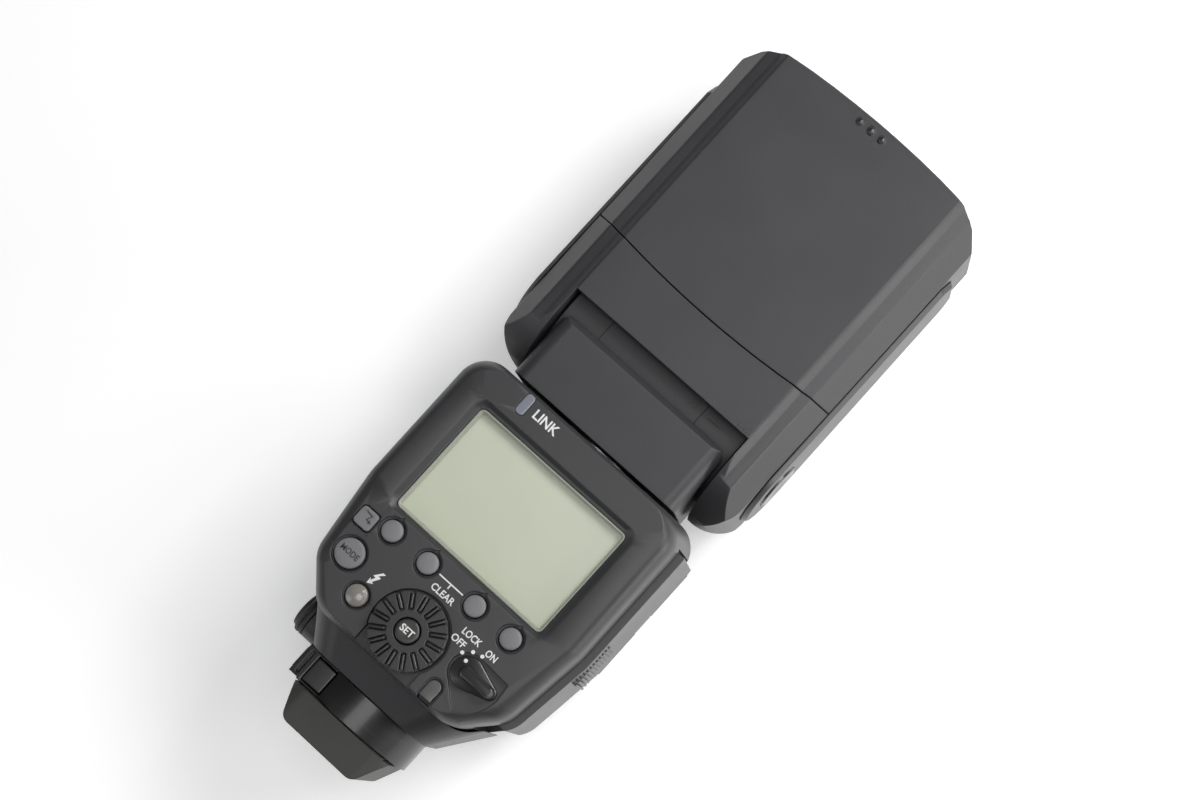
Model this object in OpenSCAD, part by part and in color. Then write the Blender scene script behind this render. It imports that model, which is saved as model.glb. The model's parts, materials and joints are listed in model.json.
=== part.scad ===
// Shoe-mount camera flash with a tilting and panning head.
// Upright as used: +Z up, the control panel faces -Y, +X is right as seen from the rear.
// The origin is the centre of the shoe plate's lower face. Millimetres.

/* [Body] */
// Width of the body at the edge of the control panel
body_w = 69; // [68:0.5:71]
// Height of the body's top above the shoe plate
body_top = 98; // [97:0.5:98]
// Height of the body's lower edge
body_bottom = 22.5; // [22:0.25:23]
// Distance of the control panel behind the pan axis
panel_back = 33; // [32.5:0.25:34]
// Distance of the body's front face ahead of the pan axis
body_front = 28; // [27:0.5:29]

/* [Display and controls] */
// Width of the display window
lcd_w = 47.2; // [44:0.5:48]
// Height of the display window
lcd_h = 31.3; // [28:0.5:32]
// Height of the display's centre
lcd_z = 70; // [69:0.5:71]
// Radius of the select dial
dial_r = 9.9; // [9:0.1:10]
// Number of grip slots around the select dial
dial_slots = 16; // [10:1:20]
// Radius of the four function buttons
function_r = 2.75; // [2.4:0.05:2.9]
// Radius of the mode button
mode_r = 3.8; // [3.4:0.1:3.9]
// Radius of the test button
test_r = 2.85; // [2.4:0.05:3]
// How far the buttons stand out of the panel
button_proud = 0.9; // [0.6:0.1:1.2]

/* [Head] */
// Height of the tilt axis
tilt_z = 121.5; // [121:0.25:122.5]
// Height of the head's top
head_top = 205; // [203:0.5:208]
// Width of the head without its side covers
head_w = 76.8; // [76:0.4:78]
// Distance of the head's back face behind the tilt axis
head_back = 21.4; // [21:0.1:21.6]
// Distance of the head's front face ahead of the tilt axis, near the lens
head_front = 27; // [25:0.5:28]
// Width of the notch that takes the neck
notch_w = 57.1; // [56.5:0.1:58]
// Height of the seam between the head's base and its upper shells
seam_z = 142.8; // [142.5:0.1:143.2]
// How far the seam dips in the middle
seam_sag = 3; // [2.6:0.1:3.1]

/* [Neck] */
// Width of the neck block
neck_w = 53.9; // [50:0.1:55]
// Radius of the pan shaft
pan_shaft_r = 10; // [9:0.5:10.5]
// Radius of the hinge barrel around the tilt axis
barrel_r = 16.5; // [15.5:0.25:16.75]

/* [Foot] */
// Width of the shoe plate
plate_w = 18.6; // [18.5:0.05:18.65]
// Length of the shoe plate
plate_l = 18; // [17:0.5:18]
// Thickness of the shoe plate
plate_h = 2; // [1.9:0.05:2]
// Width of the skirt at its top
skirt_top_w = 31.8; // [31:0.2:33]
// Width of the skirt at its lower edge
skirt_bottom_w = 23.5; // [23:0.25:25]

/* [Battery] */
// Diameter of one AA cell
cell_d = 14.3; // [14:0.1:14.3]
// Length of one AA cell
cell_l = 50.5; // [49.5:0.5:50.5]

/* [Hidden] */

// Steps of the round corners and of the true circles
corner_fn = 48;
circle_fn = 64;
// Clearances: a turning shaft in its bore, a sliding button in its hole
fit = 0.05;
gap = 0.3;

// Body
wall = 2.6;
panel_t = 3.5;
panel_y = -panel_back;
panel_inner = panel_y + panel_t;
mid_swell = 1.5;
crown = 1.1;
// Rounding of the panel's edge and of the front face's edge: [depth, inset of the sides]
panel_edge = [[0, 3.4], [0.8, 1.87], [2.2, 0.68], [4.5, 0]];
panel_top_inset = 2;
panel_low_inset = 1.2;
front_edge = [[0, 5], [1, 3.2], [3.5, 1.2], [8, 0]];
front_top_inset = 5;
front_low_inset = 3;
corner_r = 8;
waist_z = 56;
hip_z = 33;
post_spots = [[-20, 93.5], [20, 93.5], [-19, 27], [19, 27]];
post_r = 2.3;
screw_r = 1;

// Controls, as x and z on the panel
dial_at = [0, 33.4];
function_at = [[-19.6, 48.7], [-7.8, 48.7], [7.8, 48.7], [19.6, 48.7]];
mode_at = [-23.7, 37.8];
test_at = [-15.5, 31.4];
link_at = [-26.4, 46.7];
link_w = 5;
switch_at = [17.2, 35.6];
switch_head_r = 4.2;
switch_reach = 9.2;
switch_sweep = 58;
switch_floor = panel_y + 1.5;
exposure_at = [13.6, 27.7];
exposure_r = 1.85;
lamp_at = [-16.3, 93.2];
lamp_w = 2.6;
lamp_l = 5.8;
dial_floor = panel_y + 2;
dial_front = panel_y - 2.4;
dial_bore_r = 3.4;
dial_shaft_r = 4;
button_back = panel_inner + 0.3;
flange_t = 1;
window_front = panel_y + 1.2;

// Battery
cell_r = cell_d / 2;
cell_pitch = 14.75;
cell_y = -9;
cell_x = -21.8;
cell_low = 38.6;
sleeve_bore = cell_r + 0.2;
sleeve_half = sleeve_bore + 0.4;
sleeve_x = [-22.5, 29];

// Battery door
door_y = [-20.5, 12];
door_z = [30.8, 91.6];
door_hinge = [35.2, 13.6];
door_proud = 0.8;
door_t = 2.4;
door_travel = 4;
recess_depth = 2.4;
knuckle_r = 1.6;
knuckles = [[56, 70], [76, 90]];
rod_r = 0.8;
door_block_x = [30.2, 34.6];
door_block_low = 36;
door_block_half = 6.5;

// Neck and head
neck_bottom = body_top + 0.3;
neck_back = -20;
neck_front = 13;
neck_step = 117.8;
shoulder_r = 3;
shaft_top = 103.6;
pocket_r = barrel_r + 0.6;
notch_edge = 124;
notch_angle = 48;
head_near_front = 19.5;
split_y = -7.5;
shell = 2;
ear_in = notch_w / 2;
tilt_shaft_r = 5;
cover_t = 1.45;
screw_at = [-33.4, 8];
rod_spots = [[33.4, 8], [-33.4, -3]];
reflector_y = 6.2;
tube_z = 176;
lug_x = 35.6;
lug_w = 8;
lug_h = 4;
top_arc_r = 225;
lens_w = 60;
lens_y = [-5.9, 21.3];
slot_low = 190;
slot_w = 60.4;
slot_y = [-15.5, -10.2];
pull_w = 59;
pull_low = 160;
pull_top = 202.4;
tab_top = 204.3;
release_r = 6.2;

// Foot
lever_bottom = 5.3;
lever_top = 13.9;
collar_bottom = 14.2;
base_bottom = 4.2;
hub_r = 12;
lever_r = 17.6;
skirt_low = -4;
skirt_top = 5;
skirt_wall = 1.8;
boss_r = 6;
boss_at = [2, 18.7];
terminal_r = 3.2;
contact_spots = [[0, 0], [-2.6, -3.4], [2.6, -3.4], [-2.6, 3], [2.6, 3]];
contact_r = 0.8;
contact_window = [8.4, 9.4];
block_w = 12.4;
foot_screw_spots = [[-4.6, -7], [4.6, -7], [-4.6, 7], [4.6, 7]];
pin_y = 6.6;
pin_r = 1.2;

// A flat outline in x and z, given thickness from y0 to y1
module slab_y(y0, y1) {
    translate([0, y1, 0]) rotate([90, 0, 0]) linear_extrude(y1 - y0) children();
}

// A flat outline in y and z, given thickness from x0 to x1
module slab_x(x0, x1) {
    translate([x0, 0, 0]) rotate([90, 0, 90]) linear_extrude(x1 - x0) children();
}

// A flat outline in x and y, given thickness from z0 to z1
module slab_z(z0, z1) {
    translate([0, 0, z0]) linear_extrude(z1 - z0) children();
}

// A round rod along Y at a place [x, z]
module rod_y(at, r, y0, y1) {
    translate([at[0], y1, at[1]]) rotate([90, 0, 0])
        cylinder(r = r, h = y1 - y0, $fn = circle_fn);
}

// A round rod along X at a place [y, z]
module rod_x(at, r, x0, x1) {
    translate([x0, at[0], at[1]]) rotate([0, 90, 0])
        cylinder(r = r, h = x1 - x0, $fn = circle_fn);
}

// A round rod along Z at a place [x, y]
module rod_z(at, r, z0, z1) {
    translate([at[0], at[1], z0]) cylinder(r = r, h = z1 - z0, $fn = circle_fn);
}

// A rectangle about the middle with round corners
module round_rect(w, h, r) {
    offset(r = r, $fn = corner_fn) square([w - 2 * r, h - 2 * r], center = true);
}

// The body's outline, cut in at the sides, top and bottom
module body_outline(side = 0, top = 0, bottom = 0) {
    w = body_w / 2 - side;
    t = body_top - top;
    b = body_bottom + bottom;
    offset(r = corner_r, $fn = corner_fn) offset(delta = -corner_r)
        polygon([[-w, t], [w, t], [w, waist_z], [w - 3, hip_z], [w - 12.5, b],
            [12.5 - w, b], [3 - w, hip_z], [-w, waist_z]]);
}

// One slice of a rounded edge: y of the slice, its row in the list of insets, and the insets at the face
module edge_slice(y, row, depth, top, low) {
    left = 1 - row[0] / depth;
    slab_y(y, y + 0.2) body_outline(row[1], crown + (top - crown) * left, low * left);
}

// The body's outline halfway through its depth, where it is widest
module mid_outline(grow = 0) {
    offset(delta = grow) body_outline(side = -mid_swell);
}

// The recess in the body's right side that the battery door lies and slides in
module door_recess() {
    low = door_z[0] - door_travel - 0.6;
    high = door_z[1] + 0.8;
    slab_y(door_y[0] - 0.4, door_hinge[1]) difference() {
        translate([20, low]) square([20, high - low]);
        mid_outline(-recess_depth);
    }
    rod_z(door_hinge, knuckle_r + 0.4, knuckles[0][0] - door_travel - 0.8, high);
    translate([20, cell_y - sleeve_half - 0.3, cell_z(0) - sleeve_half - 0.2])
        cube([20, 2 * sleeve_half + 0.6, 3 * cell_pitch + 2 * sleeve_half + 0.5]);
    translate([31.4, door_hinge[1] - 0.8, 65.5]) cube([4, 1.6, 11]);
}

// Posts for the screws that join the two halves of the case
module posts(y0, y1, r) {
    for (at = post_spots) rod_y(at, r, y0, y1);
}

// The hole of a round button, with a shallow ring around it
module button_hole(at, r, ring) {
    rod_y(at, r + gap, panel_y - 1, panel_inner + 1);
    rod_y(at, ring, panel_y - 1, panel_y + 0.7);
}

// The outline that the power switch sweeps over
module switch_fan() {
    reach = switch_reach + 0.7;
    circle(r = switch_head_r + 0.7, $fn = circle_fn);
    polygon(concat([[0, 4.9], [reach - 0.4, 4.4]],
        [for (a = [0:-10:-switch_sweep - 12]) reach * [cos(a), sin(a)]],
        [[-4, -2.8]]));
}

// The arched outline of the exposure lamp
module arch(r) {
    circle(r = r, $fn = circle_fn);
    translate([-r, -4.6]) square([2 * r, 4.6]);
}

module panel_holes() {
    translate([0, panel_y - 0.01, lcd_z + 0.4]) rotate([-90, 0, 0])
        linear_extrude(1.21, scale = [(lcd_w + 1.6) / (lcd_w + 5.5), (lcd_h + 1.6) / (lcd_h + 3.9)])
        round_rect(lcd_w + 5.5, lcd_h + 3.9, 3);
    slab_y(panel_y, panel_inner + 1) translate([0, lcd_z]) round_rect(lcd_w + 0.8, lcd_h + 0.8, 1.6);
    slab_y(panel_y - 1, panel_inner + 1) translate(lamp_at) round_rect(lamp_w + 0.1, lamp_l + 0.1, 1);
    for (at = function_at) {
        button_hole(at, function_r, function_r + 0.9);
        slab_y(panel_y - 1, panel_y + 0.7) translate(at)
            polygon([[-0.9, 3.2], [0.9, 3.2], [0, 4.5]]);
    }
    button_hole(mode_at, mode_r, mode_r + 0.8);
    button_hole(test_at, test_r, test_r + 0.75);
    slab_y(panel_y - 4, panel_inner + 1) translate(link_at)
        round_rect(link_w + 2 * gap, link_w + 2 * gap, 1.2);
    slab_y(panel_inner, panel_inner + 2.5) translate(link_at) square(link_w + 2, center = true);
    rod_y(dial_at, dial_r + 0.6, panel_y - 1, dial_floor);
    slab_y(panel_y - 1, dial_floor) translate([-8.9, body_bottom - 1]) square([17.8, 12]);
    rod_y(dial_at, dial_shaft_r + fit, panel_y, panel_inner + 1);
    slab_y(panel_y - 1, switch_floor) translate(switch_at) switch_fan();
    rod_y(switch_at, 2.4 + fit, panel_y, panel_inner + 1);
    slab_y(panel_y - 1, panel_inner + 1) translate(exposure_at) arch(exposure_r + 0.1);
    slab_y(panel_y - 1, panel_y + 0.5) translate(exposure_at) arch(exposure_r + 0.6);
}

// The rear half of the case, which carries the control panel
module rear_case() {
    color([0.2, 0.2, 0.21]) difference() {
        hull() {
            for (row = panel_edge)
                edge_slice(panel_y + row[0], row, panel_edge[3][0], panel_top_inset, panel_low_inset);
            slab_y(-0.2, 0) mid_outline();
        }
        difference() {
            slab_y(panel_inner, 1) offset(delta = -wall) body_outline(side = 1);
            posts(-22, 2, post_r);
        }
        posts(-12, 2, screw_r);
        panel_holes();
        door_recess();
        rod_z([0, 0], pan_shaft_r + 0.8, 90, 100);
        rod_y([-39, 87.5], 6, -26, -12);
    }
}

// The front half of the case
module front_case() {
    color([0.19, 0.19, 0.2]) difference() {
        hull() {
            slab_y(0, 0.2) mid_outline();
            for (row = front_edge)
                edge_slice(body_front - row[0] - 0.2, row, front_edge[3][0], front_top_inset,
                    front_low_inset);
        }
        difference() {
            union() {
                slab_y(-1, body_front - 8.5) offset(delta = -wall) body_outline(side = 1);
                slab_y(0, body_front - wall) offset(delta = -7) body_outline();
            }
            posts(-2, body_front, 3.2);
        }
        posts(-2, 14, screw_r);
        posts(13.9, body_front + 1, 2.2);
        slab_y(body_front - wall - 1, body_front + 1) translate([0, 37]) round_rect(34.2, 18.2, 4);
        rod_y([0, 58], 4.1, body_front - wall - 1, body_front + 1);
        door_recess();
        rod_z([0, 0], pan_shaft_r + 0.8, 90, 100);
        translate([-40, 1.5, 31]) cube([12, 6, 6]);
    }
}

// The bearing plate that the pan shaft turns in
module pan_ring() {
    color([0.6, 0.6, 0.62]) difference() {
        rod_z([0, 0], 16.5, body_top - 5.4, body_top - 2.8);
        rod_z([0, 0], pan_shaft_r + fit, 90, 100);
    }
}

// The clear window over the display
module lcd_window() {
    color([0.75, 0.8, 0.75]) slab_y(window_front, panel_inner - 0.05)
        translate([0, lcd_z]) round_rect(lcd_w + 0.6, lcd_h + 0.6, 1.5);
}

// The display itself
module lcd_panel() {
    color([0.7, 0.74, 0.64]) slab_y(panel_inner + 0.1, panel_inner + 2)
        translate([0, lcd_z]) square([lcd_w + 1.8, lcd_h + 1.7], center = true);
}

// The board behind the control panel, with its switches and chips
module control_board() {
    color([0.1, 0.35, 0.2]) slab_y(-25.4, -24.2) intersection() {
        translate([0, 58]) square([56, 60], center = true);
        offset(delta = -wall - 1) body_outline(side = 1);
    }
    color([0.12, 0.12, 0.12]) for (at = [[-14, 74], [6, 70], [-10, 56]])
        slab_y(-24.2, -22.8) translate(at) square([10, 8], center = true);
}

// The board that charges the main capacitor, with its transformer
module power_board() {
    color([0.1, 0.35, 0.2]) slab_y(13, 14.4) translate([14, 59]) square([22, 50], center = true);
    color([0.15, 0.15, 0.16]) slab_y(4, 13) translate([16, 44]) square([13, 15], center = true);
    color([0.3, 0.3, 0.32]) slab_y(7, 13) translate([16, 66]) square([8, 12], center = true);
}

// The light pipe of the link lamp
module link_lamp() {
    color([0.5, 0.52, 0.6]) slab_y(panel_y - 0.1, panel_inner)
        translate(lamp_at) round_rect(lamp_w, lamp_l, 1);
}

// The lens of the exposure lamp
module exposure_lamp() {
    color([0.5, 0.5, 0.53]) slab_y(panel_y + 0.1, panel_inner) translate(exposure_at)
        intersection() {
            arch(exposure_r);
            translate([-3, -3.5]) square([6, 8]);
        }
}

// The dark red lens of the focus-assist lamp
module af_assist_lens() {
    color([0.25, 0.02, 0.03]) slab_y(body_front - wall, body_front + 0.4)
        translate([0, 37]) round_rect(34, 18, 4);
}

// The window of the wireless sensor
module sensor_window() {
    color([0.08, 0.02, 0.03]) rod_y([0, 58], 4, body_front - wall, body_front + 0.3);
}

// Places of the four cells
function cell_z(i) = cell_low + i * cell_pitch;

// The frame that holds the four cells one above the other
module battery_sleeve() {
    low = cell_z(0) - sleeve_half;
    high = cell_z(3) + sleeve_half;
    color([0.16, 0.16, 0.17]) difference() {
        intersection() {
            translate([sleeve_x[0], cell_y - sleeve_half, low])
                cube([sleeve_x[1] - sleeve_x[0], 2 * sleeve_half, high - low]);
            slab_y(-30, 20) mid_outline(-2.6);
        }
        for (i = [0:3]) rod_x([cell_y, cell_z(i)], sleeve_bore, sleeve_x[0] - 1, sleeve_x[1] + 1);
    }
}

// Four AA cells, every other one turned round
module aa_cells() {
    for (i = [0:3]) {
        flip = i % 2;
        color([0.75, 0.6, 0.2])
            rod_x([cell_y, cell_z(i)], cell_r, cell_x + flip * 1.2, cell_x + cell_l - 1.2 + flip * 1.2);
        color([0.8, 0.8, 0.8])
            rod_x([cell_y, cell_z(i)], 2.7, cell_x + (cell_l - 1.2) * (1 - flip),
                cell_x + 1.2 + (cell_l - 1.2) * (1 - flip));
    }
}

// The contact strips at the cells' inner ends
module battery_springs() {
    color([0.85, 0.82, 0.7]) for (i = [0:3]) {
        rod_x([cell_y, cell_z(i)], 5.4, cell_x - 2.6, cell_x - 2.1);
        difference() {
            rod_x([cell_y, cell_z(i)], 4, cell_x - 2.1, cell_x - 0.1);
            rod_x([cell_y, cell_z(i)], 3.2, cell_x - 3, cell_x);
        }
    }
}

// The main capacitor
module main_capacitor() {
    color([0.1, 0.12, 0.2]) rod_z([-12, 12], 11, 32, 84);
    color([0.75, 0.75, 0.77]) rod_z([-12, 12], 2, 84, 86);
}

// The four screws that join the halves of the case
module case_screws() {
    color([0.3, 0.3, 0.32]) for (at = post_spots) {
        rod_y(at, screw_r - 0.02, -10, 14);
        difference() {
            rod_y(at, 1.9, 14, 15.4);
            slab_y(14.7, 16) translate(at) square([2.6, 0.6], center = true);
            slab_y(14.7, 16) translate(at) square([0.6, 2.6], center = true);
        }
    }
}

// The socket for a sync lead, under its cap
module sync_terminal() {
    color([0.75, 0.7, 0.5]) difference() {
        rod_x(boss_at, terminal_r, -25.2, -19);
        rod_x(boss_at, terminal_r - 0.8, -26, -20);
    }
    color([0.75, 0.7, 0.5]) rod_x(boss_at, 0.6, -24, -19);
}

// The flared collar between the body and the foot, with the lead socket's boss
module foot_collar() {
    color([0.2, 0.2, 0.21]) difference() {
        union() {
            hull() {
                slab_z(collar_bottom, collar_bottom + 0.2) translate([0, -1]) round_rect(38, 36, 8);
                slab_z(27, 27.2) translate([0, -1]) round_rect(56, 46, 10);
            }
            rod_x(boss_at, boss_r, -25.2, -12);
        }
        slab_y(-40, 40) mid_outline(0.05);
        rod_x(boss_at, terminal_r + fit, -26, -18.9);
        rod_x(boss_at, boss_r + gap, -40, -25.2);
        rod_z([0, 0], lever_r + 2.8, 0, collar_bottom);
    }
}

// The base that the shoe plate, the skirt and the lock lever are built on
module foot_base() {
    color([0.15, 0.15, 0.16]) difference() {
        union() {
            rod_z([0, 0], hub_r, base_bottom, collar_bottom);
            slab_z(base_bottom, lever_bottom - 0.2) translate([-13.5, -15.6]) square([27, 27.6]);
        }
        rod_z([0, pin_y], pin_r + fit, 4, 12.8);
        for (at = foot_screw_spots) rod_z(at, 0.82, 4, 9.2);
    }
}

// The metal plate that slides into a camera's accessory shoe
module foot_plate() {
    color([0.7, 0.7, 0.72]) difference() {
        slab_z(0, plate_h) square([plate_w, plate_l], center = true);
        slab_z(-1, plate_h + 1) round_rect(contact_window[0], contact_window[1], 1);
        rod_z([0, pin_y], pin_r + fit, -1, plate_h + 1);
        for (at = foot_screw_spots) {
            rod_z(at, 0.82, -1, plate_h + 1);
            rod_z(at, 1.65, -1, 0.95);
        }
    }
}

// The insulating block that holds the contact pins in the plate's window
module contact_block() {
    color([0.12, 0.12, 0.13]) difference() {
        union() {
            slab_z(0.1, plate_h + 0.1)
                round_rect(contact_window[0] - 2 * fit, contact_window[1] - 2 * fit, 0.9);
            slab_z(plate_h, base_bottom) square([block_w, plate_l], center = true);
        }
        rod_z([0, pin_y], pin_r + fit, plate_h - 1, base_bottom + 1);
        for (at = contact_spots) rod_z(at, contact_r + fit, -1, 4);
        for (at = foot_screw_spots) rod_z(at, 0.82, plate_h - 1, base_bottom + 1);
    }
}

// The skirt's outline from behind, drawn in by t all round
module skirt_outline(t) {
    polygon([[-skirt_bottom_w / 2 + t, skirt_low], [skirt_bottom_w / 2 - t, skirt_low],
        [skirt_top_w / 2 - t, skirt_top], [-skirt_top_w / 2 + t, skirt_top]]);
}

// The rubber skirt that seals the foot against the camera, open at the front
module rubber_skirt() {
    color([0.13, 0.13, 0.13]) difference() {
        intersection() {
            slab_y(-17.5, 13.5) offset(r = 3, $fn = corner_fn) offset(delta = -3)
                union() {
                    skirt_outline(0);
                    translate([-skirt_top_w / 2, skirt_top]) square([skirt_top_w, 5]);
                }
            slab_z(skirt_low - 1, skirt_top) translate([0, -2]) round_rect(34, 31, 6);
        }
        slab_y(-15.7, 20) union() {
            skirt_outline(skirt_wall);
            translate([-skirt_bottom_w / 2 + skirt_wall, skirt_low - 1])
                square([skirt_bottom_w - 2 * skirt_wall, 2]);
            translate([-skirt_top_w / 2 + skirt_wall, skirt_top - 0.2])
                square([skirt_top_w - 2 * skirt_wall, 1]);
        }
    }
}

// The four screws that hold the shoe plate
module foot_screws() {
    color([0.6, 0.6, 0.62]) for (at = foot_screw_spots) {
        rod_z(at, 0.8, 0.95, 9);
        difference() {
            rod_z(at, 1.6, 0.05, 0.95);
            slab_z(0, 0.4) translate(at) square([2.2, 0.45], center = true);
            slab_z(0, 0.4) translate(at) square([0.45, 2.2], center = true);
        }
    }
}

// The hinged rubber flap over the power socket on the left side
module socket_cover() {
    color([0.14, 0.14, 0.14]) slab_y(-5, 10) intersection() {
        difference() {
            mid_outline(1.4);
            mid_outline(0.2);
        }
        translate([-45, 29]) square([30, 11.4]);
    }
}

// The pull-off rubber cap of the sync terminal
module terminal_cap() {
    color([0.14, 0.14, 0.14]) {
        rod_x(boss_at, boss_r, -28, -25.45);
        rod_x(boss_at, boss_r - 1, -29.2, -28);
        rod_x(boss_at, terminal_r - 1.1, -25.45, -24.6);
    }
}

// The select dial, with its hollow shaft and retaining ring
module select_dial() {
    color([0.13, 0.13, 0.14]) difference() {
        union() {
            rod_y(dial_at, dial_r, dial_front, dial_floor - gap);
            rod_y(dial_at, dial_shaft_r, dial_floor - gap - 0.1, panel_inner + 1.6);
            rod_y(dial_at, dial_shaft_r + 0.9, panel_inner + gap, panel_inner + 1.3);
        }
        rod_y(dial_at, dial_bore_r, dial_front - 1, panel_inner + 3);
        for (i = [0:dial_slots - 1])
            translate([dial_at[0], 0, dial_at[1]]) rotate([0, (i + 0.5) * 360 / dial_slots, 0])
                translate([5.3, dial_front - 1, -0.65]) cube([dial_r, 2.3, 1.3]);
    }
}

// The set button in the middle of the dial
module set_button() {
    color([0.05, 0.05, 0.05]) {
        rod_y(dial_at, dial_bore_r - gap, dial_front - 0.4, panel_inner + 2);
        rod_y(dial_at, dial_bore_r + 0.5, panel_inner + 2, panel_inner + 2.7);
    }
}

// A round button with the flange that keeps it in its hole
module round_button(at, r) {
    rod_y(at, r, panel_y - button_proud, button_back);
    rod_y(at, r + 0.7, button_back, button_back + flange_t);
}

module function_button(i) {
    color([0.48, 0.48, 0.5]) round_button(function_at[i], function_r);
}

module mode_button() {
    color([0.42, 0.42, 0.43]) round_button(mode_at, mode_r);
}

module test_button() {
    color([0.55, 0.54, 0.52]) round_button(test_at, test_r);
}

module link_button() {
    color([0.45, 0.45, 0.46]) {
        slab_y(panel_y - button_proud, button_back) translate(link_at) round_rect(link_w, link_w, 1);
        slab_y(button_back, button_back + flange_t) translate(link_at)
            square(link_w + 0.9, center = true);
    }
}

// The power switch, a drop-shaped lever with a grip bar
module power_switch() {
    bar_y = switch_floor - 1.5;
    color([0.06, 0.06, 0.06]) {
        slab_y(bar_y, switch_floor - 0.2) translate(switch_at) hull() {
            circle(r = switch_head_r, $fn = circle_fn);
            translate([switch_reach - 1.7, 0]) circle(r = 1.7, $fn = 24);
        }
        slab_y(panel_y - 2.2, bar_y) translate(switch_at) hull() {
            translate([-0.5, 0]) circle(r = 1.7, $fn = 24);
            translate([switch_reach - 1.9, 0]) circle(r = 1.5, $fn = 24);
        }
        rod_y(switch_at, 2.4, switch_floor - 0.3, panel_inner + 1.5);
        rod_y(switch_at, 3.1, panel_inner + gap, panel_inner + 1.3);
    }
}

// The place of the release button on the lock lever
module release_pocket(d) {
    translate([-14.8 - d, -15.6 - 5 * d, 6.2 - d])
        cube([5.8 + 2 * d, 4.1 + 8 * d, 6.8 + 2 * d]);
}

// The lock lever, a ring around the foot with a finger tab
module lock_lever() {
    color([0.08, 0.08, 0.08]) difference() {
        union() {
            rod_z([0, 0], lever_r, lever_bottom, lever_top);
            translate([-19.6, -11, lever_bottom]) cube([6, 8, lever_top - lever_bottom]);
            translate([-16.2, -15, lever_bottom]) cube([8.4, 6, lever_top - lever_bottom]);
        }
        rod_z([0, 0], hub_r + fit, 0, 20);
        release_pocket(gap);
        translate([-18.2, -12, lever_bottom + 1]) cube([0.8, 2, 6.6]);
    }
}

// The button that frees the lock lever
module lock_release_button() {
    color([0.1, 0.1, 0.1]) release_pocket(0);
}

// The pin that the lock lever drives down into the camera's shoe
module lock_pin() {
    color([0.75, 0.75, 0.77]) rod_z([0, pin_y], pin_r, 0.15, 11);
}

// The sprung contact pins in the shoe plate
module shoe_contacts() {
    color([0.85, 0.75, 0.45]) for (at = contact_spots) {
        rod_z(at, contact_r, 0, 3.4);
        translate([at[0], at[1], -0.5]) cylinder(r1 = 0.4, r2 = contact_r, h = 0.5, $fn = circle_fn);
    }
}

// The hinge rod of the battery door, with the slide that carries it
module door_hinge_rod() {
    color([0.6, 0.6, 0.62]) {
        rod_z(door_hinge, rod_r, knuckles[0][0] - 0.5, knuckles[1][1] + 1);
        rod_z(door_hinge, knuckle_r, knuckles[0][1] + gap, knuckles[1][0] - gap);
        translate([31.8, door_hinge[1] - 0.6, knuckles[0][1] + 0.5])
            cube([3, 1.2, knuckles[1][0] - knuckles[0][1] - 1]);
    }
}

// The battery door, following the body's side, with grip ridges
module battery_door() {
    color([0.21, 0.21, 0.22]) difference() {
        union() {
            slab_y(door_y[0], door_y[1]) intersection() {
                difference() {
                    mid_outline(door_proud);
                    mid_outline(door_proud - door_t);
                }
                translate([20, door_z[0]]) square([30, door_z[1] - door_z[0]]);
            }
            intersection() {
                translate([door_block_x[0], cell_y - door_block_half, door_block_low])
                    cube([door_block_x[1] - door_block_x[0], 2 * door_block_half, 88 - door_block_low]);
                slab_y(-30, 20) mid_outline(-0.5);
            }
            for (k = knuckles) {
                rod_z(door_hinge, knuckle_r, k[0], k[1]);
                translate([34.5, door_y[1] - 0.1, k[0]]) cube([2, 1.6, k[1] - k[0]]);
            }
            for (i = [0:11]) translate([35.7, -16, 50.4 + 1.12 * i]) cube([1.6, 20, 0.55]);
        }
        rod_z(door_hinge, rod_r + fit, 50, 95);
    }
}

// The contact plates on the inside of the battery door
module door_contacts() {
    color([0.85, 0.82, 0.7]) for (i = [0, 2])
        translate([door_block_x[0] - 0.7, cell_y - 5, cell_z(i) - 2.4])
            cube([0.7, 10, cell_pitch + 4.8]);
}

// The neck that carries the head and turns on the body
module neck_block() {
    color([0.22, 0.22, 0.23]) difference() {
        union() {
            intersection() {
                slab_x(-neck_w / 2, neck_w / 2) polygon([[neck_back, neck_bottom],
                    [neck_front, neck_bottom], [neck_front - 4.1, 107.6], [0, 112],
                    [-10, neck_step], [neck_back + 1.4, neck_step], [neck_back, neck_step - 1.4]]);
                slab_z(98, 125) translate([0, (neck_back + neck_front) / 2])
                    round_rect(neck_w, neck_front - neck_back, 4);
                slab_y(neck_back - 1, neck_front + 1) translate([0, neck_step - 20])
                    round_rect(neck_w, 40, shoulder_r);
            }
            rod_z([0, 0], 15.4, body_top + 0.1, neck_bottom + 0.1);
        }
        rod_x([0, tilt_z], barrel_r + 0.05, -40, 40);
        rod_z([0, 0], pan_shaft_r + 0.02, 98, shaft_top + 0.1);
    }
}

// The barrel around the tilt axis, which bears the angle scale
module hinge_barrel() {
    color([0.2, 0.2, 0.21]) difference() {
        rod_x([0, tilt_z], barrel_r, -ear_in + 0.65, ear_in - 0.65);
        rod_x([0, tilt_z], tilt_shaft_r + 0.02, -40, -16);
        rod_x([0, tilt_z], tilt_shaft_r + 0.02, 16, 40);
    }
}

// The hollow shaft that the neck turns on
module pan_shaft() {
    color([0.6, 0.6, 0.62]) difference() {
        union() {
            rod_z([0, 0], pan_shaft_r, body_top - 6.6, shaft_top);
            rod_z([0, 0], pan_shaft_r + 2.5, body_top - 7.1, body_top - 5.7);
        }
        rod_z([0, 0], pan_shaft_r - 3, 80, 110);
    }
}

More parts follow.
